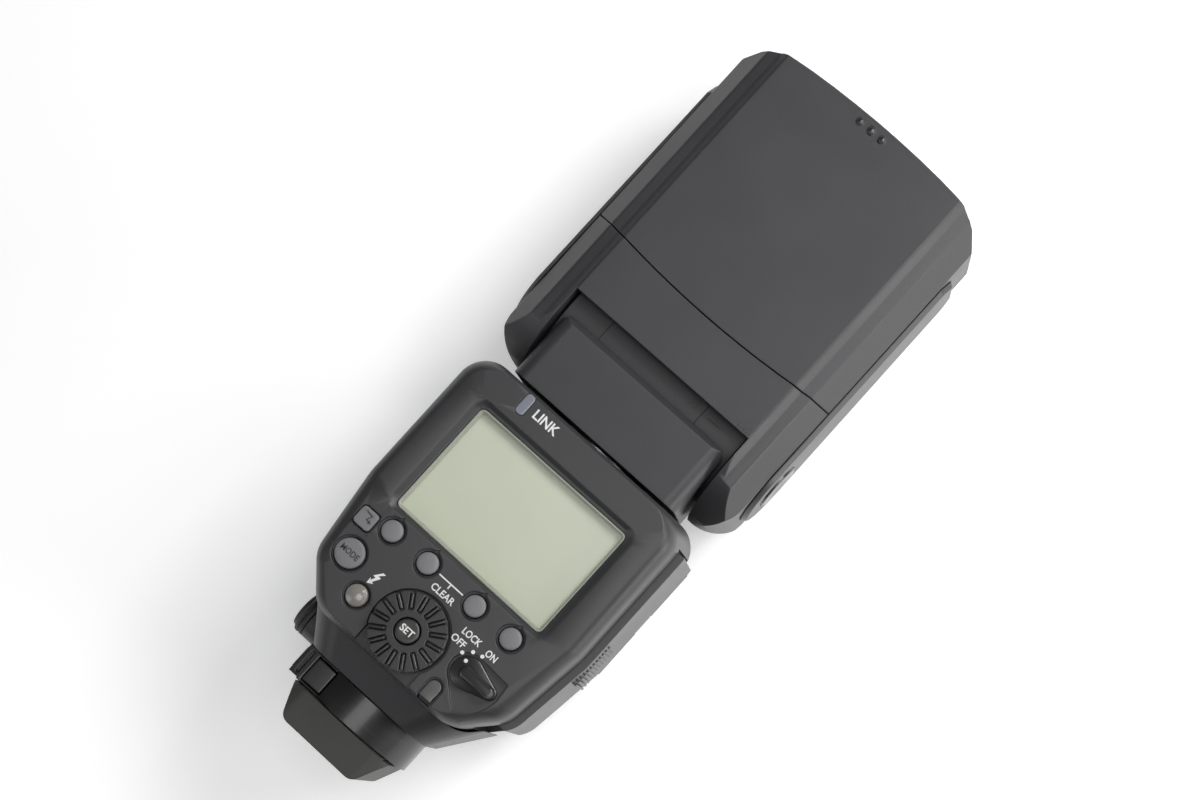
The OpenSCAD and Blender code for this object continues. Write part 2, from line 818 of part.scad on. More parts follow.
// The two stub shafts that the head tilts on, with their washers
module tilt_shafts() {
    color([0.6, 0.6, 0.62]) for (m = [0, 1]) mirror([m, 0, 0]) {
        rod_x([0, tilt_z], tilt_shaft_r, 16.2, ear_in + 3.3);
        rod_x([0, tilt_z], tilt_shaft_r + 2, ear_in + 2.3, ear_in + 3.3);
    }
}

// The head's cross-section, seen along its length
module head_section() {
    w = head_w / 2;
    back = [[28.6, -head_back], [30.6, -head_back + 1.8], [33.4, -head_back + 2.2],
        [w, -12.5], [w, 13], [35, head_front]];
    offset(r = 1.2, $fn = 32) offset(delta = -1.2)
        polygon(concat(back, [for (i = [len(back) - 1:-1:0]) [-back[i][0], back[i][1]]]));
}

// The head's outline from the side, as y and z
module head_side() {
    intersection() {
        translate([0, tilt_z]) circle(r = head_back, $fn = circle_fn);
        translate([-30, 90]) square([30 + head_near_front, 50]);
    }
    polygon([[-head_back, tilt_z], [head_near_front, tilt_z], [head_near_front, 168],
        [head_front, 182], [head_front, head_top - 3], [head_front - 1.5, head_top - 1.6],
        [-head_back + 1.2, head_top + 0.5], [-head_back, head_top - 1]]);
}

// The head's outline from behind, as x and z
module head_view() {
    w = head_w / 2;
    intersection() {
        union() {
            offset(r = 10, $fn = corner_fn) offset(delta = -10)
                translate([-w, tilt_z - head_back - 0.1]) square([head_w, 60]);
            polygon([[-w, 140], [w, 140], [w, head_top - 8.5], [w - 3.4, head_top - 4.7],
                [29, head_top - 1.6], [29, head_top + 2], [-29, head_top + 2],
                [-29, head_top - 1.6], [3.4 - w, head_top - 4.7], [-w, head_top - 8.5]]);
        }
        translate([0, head_top - top_arc_r]) circle(r = top_arc_r, $fn = 180);
    }
}

module head_outer() {
    intersection() {
        slab_z(99, head_top + 2) head_section();
        slab_x(-40, 40) head_side();
        slab_y(-30, 30) head_view();
    }
}

module head_inner() {
    intersection() {
        slab_z(99, head_top + 2) offset(delta = -shell) head_section();
        slab_x(-40, 40) offset(delta = -shell) head_side();
        slab_y(-30, 30) offset(delta = -shell) head_view();
    }
}

// The notch that the neck and the barrel sit in
module neck_notch() {
    far = 40;
    slab_x(-ear_in, ear_in) polygon([[0, tilt_z],
        [far * sin(notch_angle), tilt_z + far * cos(notch_angle)], [far, 90], [-far, 90],
        [-far, notch_edge], [0, notch_edge]]);
    rod_x([0, tilt_z], pocket_r, -ear_in, ear_in);
}

// All that lies above the curved seam, moved up by lift
module above_seam(lift) {
    w = head_w / 2 + 2;
    steps = 7;
    arc = [for (i = [-steps:steps]) [i * w / steps, seam_sag * (pow(i / steps, 2) - 1)]];
    slab_y(-40, 40) translate([0, seam_z + lift]) polygon(concat(arc, [[w, 90], [-w, 90]]));
}

// The head's base, with the two ears that hold the tilt shafts
module head_base() {
    color([0.22, 0.22, 0.23]) difference() {
        intersection() {
            head_outer();
            translate([-50, -50, 90]) cube([100, 100, seam_z + 5 - 90]);
        }
        above_seam(-gap / 2);
        neck_notch();
        for (m = [0, 1]) mirror([m, 0, 0]) intersection() {
            head_inner();
            translate([ear_in + shell, -40, 90]) cube([20, 80, 60]);
        }
        rod_x([0, tilt_z], tilt_shaft_r + fit, -ear_in - shell - 1, ear_in + shell + 1);
        rod_x([0, tilt_z], release_r + gap, ear_in + 6, 50);
    }
}

// The upper rear shell of the head, with the slot for the two pull-out panels
module head_rear_shell() {
    color([0.22, 0.22, 0.23]) difference() {
        intersection() {
            head_outer();
            above_seam(gap / 2);
            translate([-50, -50, 130]) cube([100, 50 + split_y - 0.05, 90]);
        }
        head_inner();
        slab_y(slot_y[0], slot_y[1]) translate([-slot_w / 2, slot_low]) square([slot_w, 30]);
    }
    color([0.22, 0.22, 0.23]) for (i = [-1:1])
        rod_y([3.6 * i, head_top - 3], 1, -head_back - 0.45, -head_back);
}

// The upper front shell of the head, which frames the lens
module head_front_shell() {
    color([0.21, 0.21, 0.22]) difference() {
        intersection() {
            head_outer();
            above_seam(gap / 2);
            translate([-50, split_y + 0.05, 130]) cube([100, 60, 90]);
        }
        head_inner();
        slab_y(lens_y[0] - 0.1, lens_y[1] + 0.1) translate([-lens_w / 2 - 0.1, slot_low])
            square([lens_w + 0.2, 30]);
    }
}

// The outline of a side cover, as y and z
module cover_outline() {
    translate([0, tilt_z]) circle(r = 12.6, $fn = 40);
    polygon([[-12, tilt_z + 4], [12, tilt_z + 4], [12, head_top - 20], [8, head_top - 16.2],
        [-7, head_top - 16.2], [-11, head_top - 20]]);
}

module side_cover() {
    w = head_w / 2;
    hull() {
        slab_x(w + 0.02, w + 0.3) cover_outline();
        slab_x(w + cover_t - 0.2, w + cover_t) offset(delta = -1) cover_outline();
    }
}

module side_cover_left() {
    color([0.19, 0.19, 0.2]) mirror([1, 0, 0]) side_cover();
}

module side_cover_right() {
    color([0.19, 0.19, 0.2]) difference() {
        side_cover();
        rod_x([0, tilt_z], release_r + gap, 30, 50);
    }
}

// The ribbed lens over the flash tube
module flash_lens() {
    color([0.85, 0.87, 0.9]) slab_y(lens_y[0], lens_y[1]) intersection() {
        difference() {
            offset(delta = -0.8) head_view();
            offset(delta = -3) head_view();
        }
        translate([-lens_w / 2, slot_low]) square([lens_w, 30]);
    }
}

// The outline of the reflector, as y and z about its middle
module reflector_outline() {
    polygon([[-10.5, 196], [-9.4, 187], [-7, 178], [-4, 172.5], [4, 172.5], [7, 178],
        [9.4, 187], [10.5, 196]]);
}

// The reflector on its carriage, which moves along the head to zoom
module reflector() {
    color([0.8, 0.8, 0.82]) difference() {
        union() {
            slab_x(-28, 28) translate([reflector_y, 0]) reflector_outline();
            translate([-lug_x, 5, tube_z]) cube([lug_w, 6, lug_h]);
            translate([-lug_x, -5.6, tube_z]) cube([lug_w, 5.2, lug_h]);
            translate([-30, -5.6, tube_z]) cube([2, 12, lug_h]);
            translate([lug_x - lug_w, 5, tube_z]) cube([lug_w, 6, lug_h]);
        }
        slab_x(-27, 27) translate([reflector_y, 0]) union() {
            offset(delta = -1) reflector_outline();
            translate([-9.5, 194]) square([19, 3]);
        }
        rod_x([reflector_y, tube_z], 2.3, -30, 30);
        rod_z(screw_at, 1.56, 170, 190);
        for (at = rod_spots) rod_z(at, 1.26, 170, 190);
    }
}

// The flash tube across the back of the reflector
module flash_tube() {
    color([0.9, 0.92, 0.95]) rod_x([reflector_y, tube_z], 2, -27.6, 27.6);
}

// The screw that drives the zoom carriage
module lead_screw() {
    color([0.7, 0.7, 0.72]) {
        rod_z(screw_at, 1.5, 142, 196);
        rod_z(screw_at, 1, 138.6, 142);
    }
}

// The motor that turns the lead screw
module zoom_motor() {
    color([0.5, 0.5, 0.52]) difference() {
        rod_z(screw_at, 2.6, 126, 141.5);
        rod_z(screw_at, 1 + fit, 138.3, 142);
    }
}

// The rods that the zoom carriage slides on
module guide_rods() {
    color([0.75, 0.75, 0.77]) for (at = rod_spots) rod_z(at, 1.2, 136, 197);
}

// A pull-out panel of thickness t at a distance y, with its finger tab
module pull_panel(y, t, tab_w) {
    slab_y(y, y + t) union() {
        translate([-pull_w / 2, pull_low]) square([pull_w, pull_top - pull_low]);
        translate([-tab_w / 2, pull_top - 0.1]) square([tab_w, tab_top - pull_top + 0.1]);
    }
}

// The white panel that puts a highlight in the subject's eyes
module catchlight_panel() {
    color([0.92, 0.92, 0.9]) pull_panel(-15, 1, 14);
}

// The ribbed wide-angle panel
module wide_panel() {
    color([0.85, 0.88, 0.9]) pull_panel(-12.4, 1.6, 18);
}

// The button on the tilt axis that frees the head
module tilt_release_button() {
    color([0.1, 0.1, 0.1]) {
        rod_x([0, tilt_z], release_r, ear_in + 5, head_w / 2 + 2);
        rod_x([0, tilt_z], release_r + 1.2, ear_in + 6, ear_in + 7.3);
    }
}

rear_case();
front_case();
pan_ring();
lcd_window();
lcd_panel();
control_board();
power_board();
link_lamp();
exposure_lamp();
af_assist_lens();
sensor_window();
battery_sleeve();
aa_cells();
battery_springs();
main_capacitor();
case_screws();
sync_terminal();
foot_collar();
foot_base();
foot_plate();
contact_block();
rubber_skirt();
foot_screws();
socket_cover();
terminal_cap();
select_dial();
set_button();
function_button(0);  // function_button_1
function_button(1);  // function_button_2
function_button(2);  // function_button_3
function_button(3);  // function_button_4
mode_button();
link_button();
test_button();
power_switch();
lock_lever();
lock_release_button();
lock_pin();
shoe_contacts();
door_hinge_rod();
battery_door();
door_contacts();
neck_block();
hinge_barrel();
pan_shaft();
tilt_shafts();
head_base();
head_rear_shell();
head_front_shell();
side_cover_left();
side_cover_right();
flash_lens();
reflector();
flash_tube();
lead_screw();
zoom_motor();
guide_rods();
catchlight_panel();
wide_panel();
tilt_release_button();
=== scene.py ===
import json
import math

import bpy
import bmesh
from mathutils import Matrix, Vector


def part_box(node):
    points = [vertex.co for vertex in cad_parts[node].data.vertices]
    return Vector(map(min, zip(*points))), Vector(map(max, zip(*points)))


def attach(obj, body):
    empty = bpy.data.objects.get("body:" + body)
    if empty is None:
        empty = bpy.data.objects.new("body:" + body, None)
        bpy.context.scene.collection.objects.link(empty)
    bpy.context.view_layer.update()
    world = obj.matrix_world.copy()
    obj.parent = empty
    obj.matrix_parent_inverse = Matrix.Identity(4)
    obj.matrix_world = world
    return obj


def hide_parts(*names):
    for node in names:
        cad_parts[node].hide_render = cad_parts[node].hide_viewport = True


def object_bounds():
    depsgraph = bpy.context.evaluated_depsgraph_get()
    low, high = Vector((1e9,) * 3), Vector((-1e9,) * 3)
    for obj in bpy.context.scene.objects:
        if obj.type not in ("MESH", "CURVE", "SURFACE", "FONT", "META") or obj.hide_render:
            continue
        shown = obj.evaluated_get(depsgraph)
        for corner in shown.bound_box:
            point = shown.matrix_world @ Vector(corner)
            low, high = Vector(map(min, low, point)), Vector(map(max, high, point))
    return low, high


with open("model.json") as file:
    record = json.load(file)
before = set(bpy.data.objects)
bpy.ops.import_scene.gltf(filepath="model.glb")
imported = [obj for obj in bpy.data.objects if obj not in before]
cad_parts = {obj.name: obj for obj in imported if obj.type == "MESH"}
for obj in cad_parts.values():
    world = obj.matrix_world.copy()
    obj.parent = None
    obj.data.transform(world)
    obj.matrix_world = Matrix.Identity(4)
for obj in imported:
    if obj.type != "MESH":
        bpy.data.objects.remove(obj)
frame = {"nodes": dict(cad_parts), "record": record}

# Looks of a shoe-mount camera flash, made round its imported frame.
# +Z is up as the flash is used, -Y comes out of the control panel, and the lengths below are in millimetres.

CAD_LOW, CAD_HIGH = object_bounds()
MM = 0.001


def mm(*values):
    """A point given in millimetres, as a vector in metres."""
    return Vector(values) * MM


def node_box(name):
    """The lowest and highest corners of a CAD node, in millimetres."""
    low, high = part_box(name)
    return low / MM, high / MM


# ---------------------------------------------------------------- materials

def add(tree, kind, inputs=None, **settings):
    """Adds a shader node; an input is a number, a colour or another node's socket."""
    made = tree.nodes.new(kind)
    for key, value in settings.items():
        setattr(made, key, value)
    for key, value in (inputs or {}).items():
        if isinstance(value, bpy.types.NodeSocket):
            tree.links.new(value, made.inputs[key])
        else:
            made.inputs[key].default_value = value
    return made


def ramp(tree, source, stops):
    """A colour ramp over a value, with (place, colour or grey) stops."""
    made = add(tree, "ShaderNodeValToRGB", {"Fac": source})
    elements = made.color_ramp.elements
    for index, (place, colour) in enumerate(stops):
        element = elements[index] if index < 2 else elements.new(place)
        element.position = place
        element.color = (*colour, 1) if hasattr(colour, "__len__") else (colour, colour, colour, 1)
    return made.outputs["Color"]


def blend_colour(tree, factor, first, second):
    """Mixes two colours by a factor; each is a socket or three numbers."""
    made = tree.nodes.new("ShaderNodeMix")
    made.data_type = "RGBA"
    tree.links.new(factor, made.inputs[0])
    for index, value in ((6, first), (7, second)):
        if isinstance(value, bpy.types.NodeSocket):
            tree.links.new(value, made.inputs[index])
        else:
            made.inputs[index].default_value = (*value, 1)
    return made.outputs[2]


def math_node(tree, operation, first, second=0.0):
    """One arithmetic step on two values."""
    return add(tree, "ShaderNodeMath", {0: first, 1: second}, operation=operation).outputs[0]


def uneven(tree, pattern, middle, spread):
    """A value that follows a pattern of 0 to 1, with the given middle and spread."""
    return add(tree, "ShaderNodeMath", {0: pattern, 1: spread, 2: middle - spread / 2},
               operation="MULTIPLY_ADD").outputs[0]


def scaled(colour, factor):
    """A colour made lighter or darker, held at 1."""
    return tuple(min(1.0, channel * factor) for channel in colour)


def new_material(name):
    """A node material and its tree, shader and object coordinates."""
    material = bpy.data.materials.new(name)
    material.use_nodes = True
    tree = material.node_tree
    place = add(tree, "ShaderNodeTexCoord").outputs["Object"]
    return material, tree, tree.nodes["Principled BSDF"], place


def edge_mask(tree, rounded):
    """1 along sharp edges, where the rounded direction leaves the plain one, and 0 on flat stretches."""
    plain = add(tree, "ShaderNodeNewGeometry").outputs["Normal"]
    alike = add(tree, "ShaderNodeVectorMath", {0: rounded, 1: plain}, operation="DOT_PRODUCT")
    return ramp(tree, alike.outputs["Value"], [(0.90, 1.0), (0.995, 0.0)])


def with_wear_and_highlight(tree, base, rough, rounded, colour, amount):
    """Paler and smoother plastic along the sharp edges: partly wear, partly a painted highlight where rounded
    edges catch the light.
    """
    mask = math_node(tree, "MULTIPLY", edge_mask(tree, rounded), amount)
    # painted highlight mixed with wear: the sharp edges get a paler colour
    base = blend_colour(tree, mask, base, scaled(colour, 3.2))
    return base, math_node(tree, "SUBTRACT", rough, math_node(tree, "MULTIPLY", mask, 0.15))


def with_dust(tree, base, place, share):
    """Specks of dust, in a share of a fine pattern's cells."""
    cells = add(tree, "ShaderNodeTexVoronoi", {"Vector": place, "Scale": 190.0})
    near = math_node(tree, "LESS_THAN", cells.outputs["Distance"], 0.045)
    chosen = math_node(tree, "GREATER_THAN", cells.outputs["Color"], 1.0 - share)
    return blend_colour(tree, math_node(tree, "MULTIPLY", near, chosen), base, (0.42, 0.41, 0.39))


def with_scuffs(tree, base, rough, place, colour, amount):
    """Faint rubbed lines, paler and rougher than the rest."""
    lay = add(tree, "ShaderNodeMapping", {"Vector": place, "Rotation": (0.3, 0.5, 0.2),
                                          "Scale": (60, 60, 900)}).outputs["Vector"]
    lines = add(tree, "ShaderNodeTexNoise", {"Vector": lay, "Scale": 1.0, "Detail": 4.0})
    marks = ramp(tree, lines.outputs["Fac"], [(0.62, 0.0), (0.72, amount)])
    base = blend_colour(tree, marks, base, scaled(colour, 4.0))
    return base, math_node(tree, "ADD", rough, math_node(tree, "MULTIPLY", marks, 0.3))


def moulded(name, colour, roughness, grain=0.3, grain_size=0.35, edge_wear_and_highlight=0.0, dust=0.0, scuffs=0.0,
            coat=0.0):
    """Moulded plastic or rubber: spark-eroded grain, slow mottling, edges made paler as wear and as a painted
    highlight, dust and scuffs.
    """
    material, tree, shader, place = new_material(name)
    cloud = add(tree, "ShaderNodeTexNoise", {"Vector": place, "Scale": 38.0, "Detail": 3.0})
    base = ramp(tree, cloud.outputs["Fac"], [(0.3, scaled(colour, 0.88)), (0.7, scaled(colour, 1.12))])
    fine = add(tree, "ShaderNodeTexNoise", {"Vector": place, "Scale": 1 / (grain_size * MM),
                                            "Detail": 2.5, "Roughness": 0.6}).outputs["Fac"]
    speckle = ramp(tree, fine, [(0.35, 0.0), (0.75, 1.0)])
    base = blend_colour(tree, math_node(tree, "MULTIPLY", speckle, 0.35), base, scaled(colour, 1.5))
    rough = uneven(tree, cloud.outputs["Fac"], roughness, 0.16)
    rounded = add(tree, "ShaderNodeBevel", {"Radius": 0.4 * MM}, samples=4).outputs["Normal"]
    # painted highlight along the sharp edges, mixed with wear
    if edge_wear_and_highlight:
        base, rough = with_wear_and_highlight(tree, base, rough, rounded, colour, edge_wear_and_highlight)
    if dust:
        base = with_dust(tree, base, place, dust)
    if scuffs:
        base, rough = with_scuffs(tree, base, rough, place, colour, scuffs)
    tree.links.new(base, shader.inputs["Base Color"])
    tree.links.new(rough, shader.inputs["Roughness"])
    bump = add(tree, "ShaderNodeBump", {"Height": fine, "Strength": grain, "Distance": 0.04 * MM,
                                        "Normal": rounded})
    tree.links.new(bump.outputs["Normal"], shader.inputs["Normal"])
    shader.inputs["Coat Weight"].default_value = coat
    shader.inputs["Coat Roughness"].default_value = 0.12
    return material


def metal(name, colour, roughness, lay=(4, 4, 1500)):
    """Drawn or brushed metal, with fine lines across the given stretch."""
    material, tree, shader, place = new_material(name)
    stretched = add(tree, "ShaderNodeMapping", {"Vector": place, "Scale": lay}).outputs["Vector"]
    lines = add(tree, "ShaderNodeTexNoise", {"Vector": stretched, "Scale": 1.0, "Detail": 3.0})
    tone = ramp(tree, lines.outputs["Fac"], [(0.3, scaled(colour, 0.8)), (0.7, scaled(colour, 1.1))])
    rough = uneven(tree, lines.outputs["Fac"], roughness, 0.2)
    bump = add(tree, "ShaderNodeBump", {"Height": lines.outputs["Fac"], "Strength": 0.15,
                                        "Distance": 0.01 * MM})
    tree.links.new(tone, shader.inputs["Base Color"])
    tree.links.new(rough, shader.inputs["Roughness"])
    tree.links.new(bump.outputs["Normal"], shader.inputs["Normal"])
    shader.inputs["Metallic"].default_value = 1.0
    return material


def see_through(name, colour, opacity, roughness=0.08):
    """Clear plastic that shows what lies behind it."""
    material, tree, shader, place = new_material(name)
    haze = add(tree, "ShaderNodeTexNoise", {"Vector": place, "Scale": 90.0, "Detail": 3.0})
    tone = ramp(tree, haze.outputs["Fac"], [(0.3, scaled(colour, 0.94)), (0.7, scaled(colour, 1.04))])
    rough = uneven(tree, haze.outputs["Fac"], roughness, 0.06)
    tree.links.new(tone, shader.inputs["Base Color"])
    tree.links.new(rough, shader.inputs["Roughness"])
    shader.inputs["Alpha"].default_value = opacity
    return material


def unlit_display(name):
    """The grey-green glass of a switched-off display, with a painted reflection that makes it a little
    lighter towards the top.
    """
    material, tree, shader, place = new_material(name)
    height = add(tree, "ShaderNodeSeparateXYZ", {"Vector": place}).outputs["Z"]
    low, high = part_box("lcd_panel")
    # painted reflection: the glass colour grows lighter with height
    share = add(tree, "ShaderNodeMapRange", {"Value": height, "From Min": low.z, "From Max": high.z})
    tone = ramp(tree, share.outputs["Result"], [(0.0, (0.46, 0.50, 0.38)), (1.0, (0.50, 0.53, 0.43))])
    cells = add(tree, "ShaderNodeTexNoise", {"Vector": place, "Scale": 3000.0, "Detail": 1.0})
    grainy = ramp(tree, cells.outputs["Fac"], [(0.4, 0.0), (0.8, 0.12)])
    tone = blend_colour(tree, grainy, tone, (0.40, 0.44, 0.34))
    tree.links.new(tone, shader.inputs["Base Color"])
    shader.inputs["Roughness"].default_value = 0.35
    return material


def printed(name, colour):
    """Pad-printed ink, slightly uneven."""
    material, tree, shader, place = new_material(name)
    patch = add(tree, "ShaderNodeTexNoise", {"Vector": place, "Scale": 1400.0, "Detail": 2.0})
    tone = ramp(tree, patch.outputs["Fac"], [(0.3, scaled(colour, 0.82)), (0.6, colour)])
    tree.links.new(tone, shader.inputs["Base Color"])
    shader.inputs["Roughness"].default_value = 0.5
    return material


MATERIALS = {
    "case": moulded("case_plastic", (0.029, 0.029, 0.031), 0.44, grain=0.5, edge_wear_and_highlight=0.30, dust=0.06),
    "neck": moulded("neck_plastic", (0.031, 0.031, 0.034), 0.46, grain=0.5, edge_wear_and_highlight=0.25, dust=0.05),
    "head": moulded("head_plastic", (0.031, 0.030, 0.033), 0.45, grain=0.6, edge_wear_and_highlight=0.25, dust=0.05),
    "cover": moulded("cover_plastic", (0.026, 0.026, 0.028), 0.42, edge_wear_and_highlight=0.25, dust=0.02),
    "rubber": moulded("black_rubber", (0.030, 0.030, 0.028), 0.58, grain_size=0.6, dust=0.06),
    "button_rubber": moulded("button_rubber", (0.145, 0.145, 0.152), 0.52, grain=0.15, edge_wear_and_highlight=0.1),
    "button_clear": moulded("button_clear", (0.19, 0.18, 0.165), 0.26, grain=0.05, coat=0.6),
    "gloss_black": moulded("gloss_plastic", (0.018, 0.018, 0.018), 0.32, grain=0.08, edge_wear_and_highlight=0.2,
                           dust=0.05, scuffs=0.25, coat=0.25),
    "dial": moulded("dial_plastic", (0.017, 0.017, 0.018), 0.38, grain=0.15, edge_wear_and_highlight=0.5, dust=0.05),
    "window": see_through("window_plastic", (0.72, 0.76, 0.66), 0.10, 0.10),
    "display": unlit_display("display_glass"),
    "lamp": moulded("lamp_plastic", (0.17, 0.18, 0.215), 0.30, grain=0.05, coat=0.5),
    "red_lens": moulded("red_plastic", (0.05, 0.004, 0.006), 0.14, grain=0.05, coat=0.8),
    "steel": metal("brushed_steel", (0.50, 0.50, 0.52), 0.36, lay=(60, 60, 4000)),
    "gold": metal("gold_plate", (0.83, 0.62, 0.28), 0.28, lay=(60, 60, 4000)),
    "board": moulded("board_lacquer", (0.02, 0.12, 0.05), 0.35, grain_size=0.8, coat=0.4),
    "cell": moulded("cell_sleeve", (0.45, 0.30, 0.05), 0.25, grain=0.05, scuffs=0.2, coat=0.5),
    "capacitor": moulded("capacitor_sleeve", (0.02, 0.025, 0.07), 0.30, grain=0.05, coat=0.5),
    "clear": see_through("clear_plastic", (0.82, 0.85, 0.88), 0.30, 0.12),
    "white": moulded("white_card", (0.78, 0.78, 0.75), 0.55, grain=0.1, dust=0.02),
    "reflector": metal("bright_aluminium", (0.86, 0.86, 0.87), 0.16, lay=(900, 5, 5)),
    "smoke": moulded("smoked_plastic", (0.045, 0.046, 0.043), 0.25, grain=0.05, coat=0.5),
}
WHITE_INK = printed("white_ink", (0.72, 0.72, 0.71))
DARK_INK = printed("dark_ink", (0.035, 0.035, 0.038))
SEAM_SHADE = moulded("seam_shade", (0.008, 0.008, 0.009), 0.6)
DISPLAY_RING = printed("display_ring", (0.30, 0.31, 0.26))


# ---------------------------------------------------------------- CAD nodes

# Rounding of each node's sharp edges; the others get the plain one
PLAIN_ROUND = 0.15
ROUND = {
    "hinge_barrel": 0.30, "side_cover_left": 0.22, "select_dial": 0.20, "lock_release_button": 0.40,
    "socket_cover": 0.40, "catchlight_panel": 0.25, "link_lamp": 0.30, "exposure_lamp": 0.25,
    "power_board": 0.10, "head_rear_shell": 0.20,
}
# Nodes whose flat faces have holes or deep corners: they keep their triangles and get a finer rounding
FINE_ROUND = {
    "rear_case": 0.10, "front_case": 0.10, "battery_door": 0.10, "battery_sleeve": 0.10,
    "contact_block": 0.10, "door_hinge_rod": 0.20, "foot_base": 0.10, "foot_collar": 0.10,
    "foot_plate": 0.10, "head_base": 0.10, "head_front_shell": 0.12,
    "link_button": 0.30, "lock_lever": 0.20, "neck_block": 0.12, "power_switch": 0.12,
    "reflector": 0.10, "rubber_skirt": 0.10, "side_cover_right": 0.20,
}


def smooth_group(limit_degrees):
    """Geometry nodes that shade faces smooth and keep edges sharper than the limit."""
    group = bpy.data.node_groups.new("smooth_by_angle", "GeometryNodeTree")
    group.interface.new_socket("Geometry", in_out="INPUT", socket_type="NodeSocketGeometry")
    group.interface.new_socket("Geometry", in_out="OUTPUT", socket_type="NodeSocketGeometry")
    entry, leave = group.nodes.new("NodeGroupInput"), group.nodes.new("NodeGroupOutput")
    faces = group.nodes.new("GeometryNodeSetShadeSmooth")
    edges = group.nodes.new("GeometryNodeSetShadeSmooth")
    edges.domain = "EDGE"
    angle = group.nodes.new("GeometryNodeInputMeshEdgeAngle")
    sharp = group.nodes.new("FunctionNodeCompare")
    sharp.operation = "LESS_EQUAL"
    sharp.inputs[1].default_value = math.radians(limit_degrees)
    links = group.links
    links.new(entry.outputs[0], faces.inputs["Geometry"])
    links.new(faces.outputs["Geometry"], edges.inputs["Geometry"])
    links.new(angle.outputs["Unsigned Angle"], sharp.inputs[0])
    links.new(sharp.outputs["Result"], edges.inputs["Shade Smooth"])
    links.new(edges.outputs["Geometry"], leave.inputs[0])
    return group


SMOOTH = smooth_group(32)


def finish_edges(obj, width, weld=True, dissolve=True):
    """Rounds an object's sharp edges with modifiers, and shades the rest smoothly."""
    if weld:
        obj.modifiers.new("weld", "WELD").merge_threshold = 0.002 * MM
    if weld and dissolve:
        flat = obj.modifiers.new("flat", "DECIMATE")
        flat.decimate_type = "DISSOLVE"
        flat.angle_limit = math.radians(1.0)
    edge = obj.modifiers.new("round", "BEVEL")
    edge.width = width * MM
    edge.segments = 2
    edge.limit_method = "ANGLE"
    edge.angle_limit = math.radians(32)
    edge.use_clamp_overlap = False
    edge.miter_outer = "MITER_ARC"
    obj.modifiers.new("smooth", "NODES").node_group = SMOOTH
    obj.modifiers.new("weigh", "WEIGHTED_NORMAL").keep_sharp = True


SLOT_OF = {row["node"]: row["material_slot"] for row in frame["record"]["subparts"]}
for node_name, node_object in frame["nodes"].items():
    fine = node_name in FINE_ROUND
    node_width = FINE_ROUND[node_name] if fine else ROUND.get(node_name, PLAIN_ROUND)
    finish_edges(node_object, node_width, dissolve=not fine)
    for index in range(len(node_object.data.materials)):
        node_object.data.materials[index] = MATERIALS[SLOT_OF[node_name]]
frame["nodes"]["exposure_lamp"].data.materials[0] = MATERIALS["smoke"]


# ---------------------------------------------------------------- piece helpers

BODY_OF = {node: body for body, nodes in frame["record"]["behaviour"]["bodies"].items() for node in nodes}


def piece(name, mesh, body, material, stands_for=()):
    """Links a mesh as a piece of the object that rides on a body."""
    obj = bpy.data.objects.new(name, mesh)
    bpy.context.scene.collection.objects.link(obj)
    mesh.materials.append(material)
    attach(obj, body)
    if stands_for:
        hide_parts(*stands_for)
    return obj


def mesh_from(name, points, faces):
    """A mesh in metres from points in millimetres, with its faces turned outwards."""
    mesh = bpy.data.meshes.new(name)
    mesh.from_pydata([Vector(p) * MM for p in points], [], faces)
    edit = bmesh.new()
    edit.from_mesh(mesh)
    bmesh.ops.remove_doubles(edit, verts=edit.verts, dist=0.001 * MM)
    bmesh.ops.recalc_face_normals(edit, faces=edit.faces)
    edit.to_mesh(mesh)
    edit.free()
    return mesh


def lathe(name, centre, axis, profile, turns=72):
    """A turned solid: profile is (radius, distance along the axis from centre), from end to end."""
    forward = Vector(axis).normalized()
    side = forward.orthogonal().normalized()
    up = forward.cross(side)
    points, faces = [], []
    for radius, along in profile:
        for step in range(turns):
            a = 2 * math.pi * step / turns
            spoke = side * math.cos(a) + up * math.sin(a)
            points.append(Vector(centre) + forward * along + spoke * radius)
    for ring in range(len(profile) - 1):
        for step in range(turns):
            after = (step + 1) % turns
            faces.append((ring * turns + step, ring * turns + after,
                          (ring + 1) * turns + after, (ring + 1) * turns + step))
    return mesh_from(name, points, faces)


def ribbon_slab(name, columns, rows, top, bottom):
    """A closed slab over a grid: top(i, j) and bottom(i, j) give the points of its two faces."""
    points = [top(i, j) for i in range(columns) for j in range(rows)]
    points += [bottom(i, j) for i in range(columns) for j in range(rows)]
    under = columns * rows

    def at(i, j):
        return i * rows + j

    faces = []
    for i in range(columns - 1):
        for j in range(rows - 1):
            quad = (at(i, j), at(i + 1, j), at(i + 1, j + 1), at(i, j + 1))
            faces.append(quad)
            faces.append(tuple(under + corner for corner in reversed(quad)))
    rim = [at(i, 0) for i in range(columns)] + [at(columns - 1, j) for j in range(1, rows)]
    rim += [at(i, rows - 1) for i in range(columns - 2, -1, -1)]
    rim += [at(0, j) for j in range(rows - 2, 0, -1)]
    for index, corner in enumerate(rim):
        after = rim[(index + 1) % len(rim)]
        faces.append((corner, under + corner, under + after, after))
    return mesh_from(name, points, faces)


def prism(name, outline, y_front, y_back):
    """A flat outline in x and z, given thickness along Y."""
    count = len(outline)
    points = [(x, y_front, z) for x, z in outline] + [(x, y_back, z) for x, z in outline]
    faces = [tuple(range(count)), tuple(range(2 * count - 1, count - 1, -1))]
    faces += [(i, (i + 1) % count, count + (i + 1) % count, count + i) for i in range(count)]
    return mesh_from(name, points, faces)


def shade_smooth(obj, width=0.0):
    """Shades a new piece, with its edges rounded by width where that isn't 0."""
    if width:
        finish_edges(obj, width, weld=False)
    else:
        obj.modifiers.new("smooth", "NODES").node_group = SMOOTH


# ---------------------------------------------------------------- buttons

FLANGE = 0.7


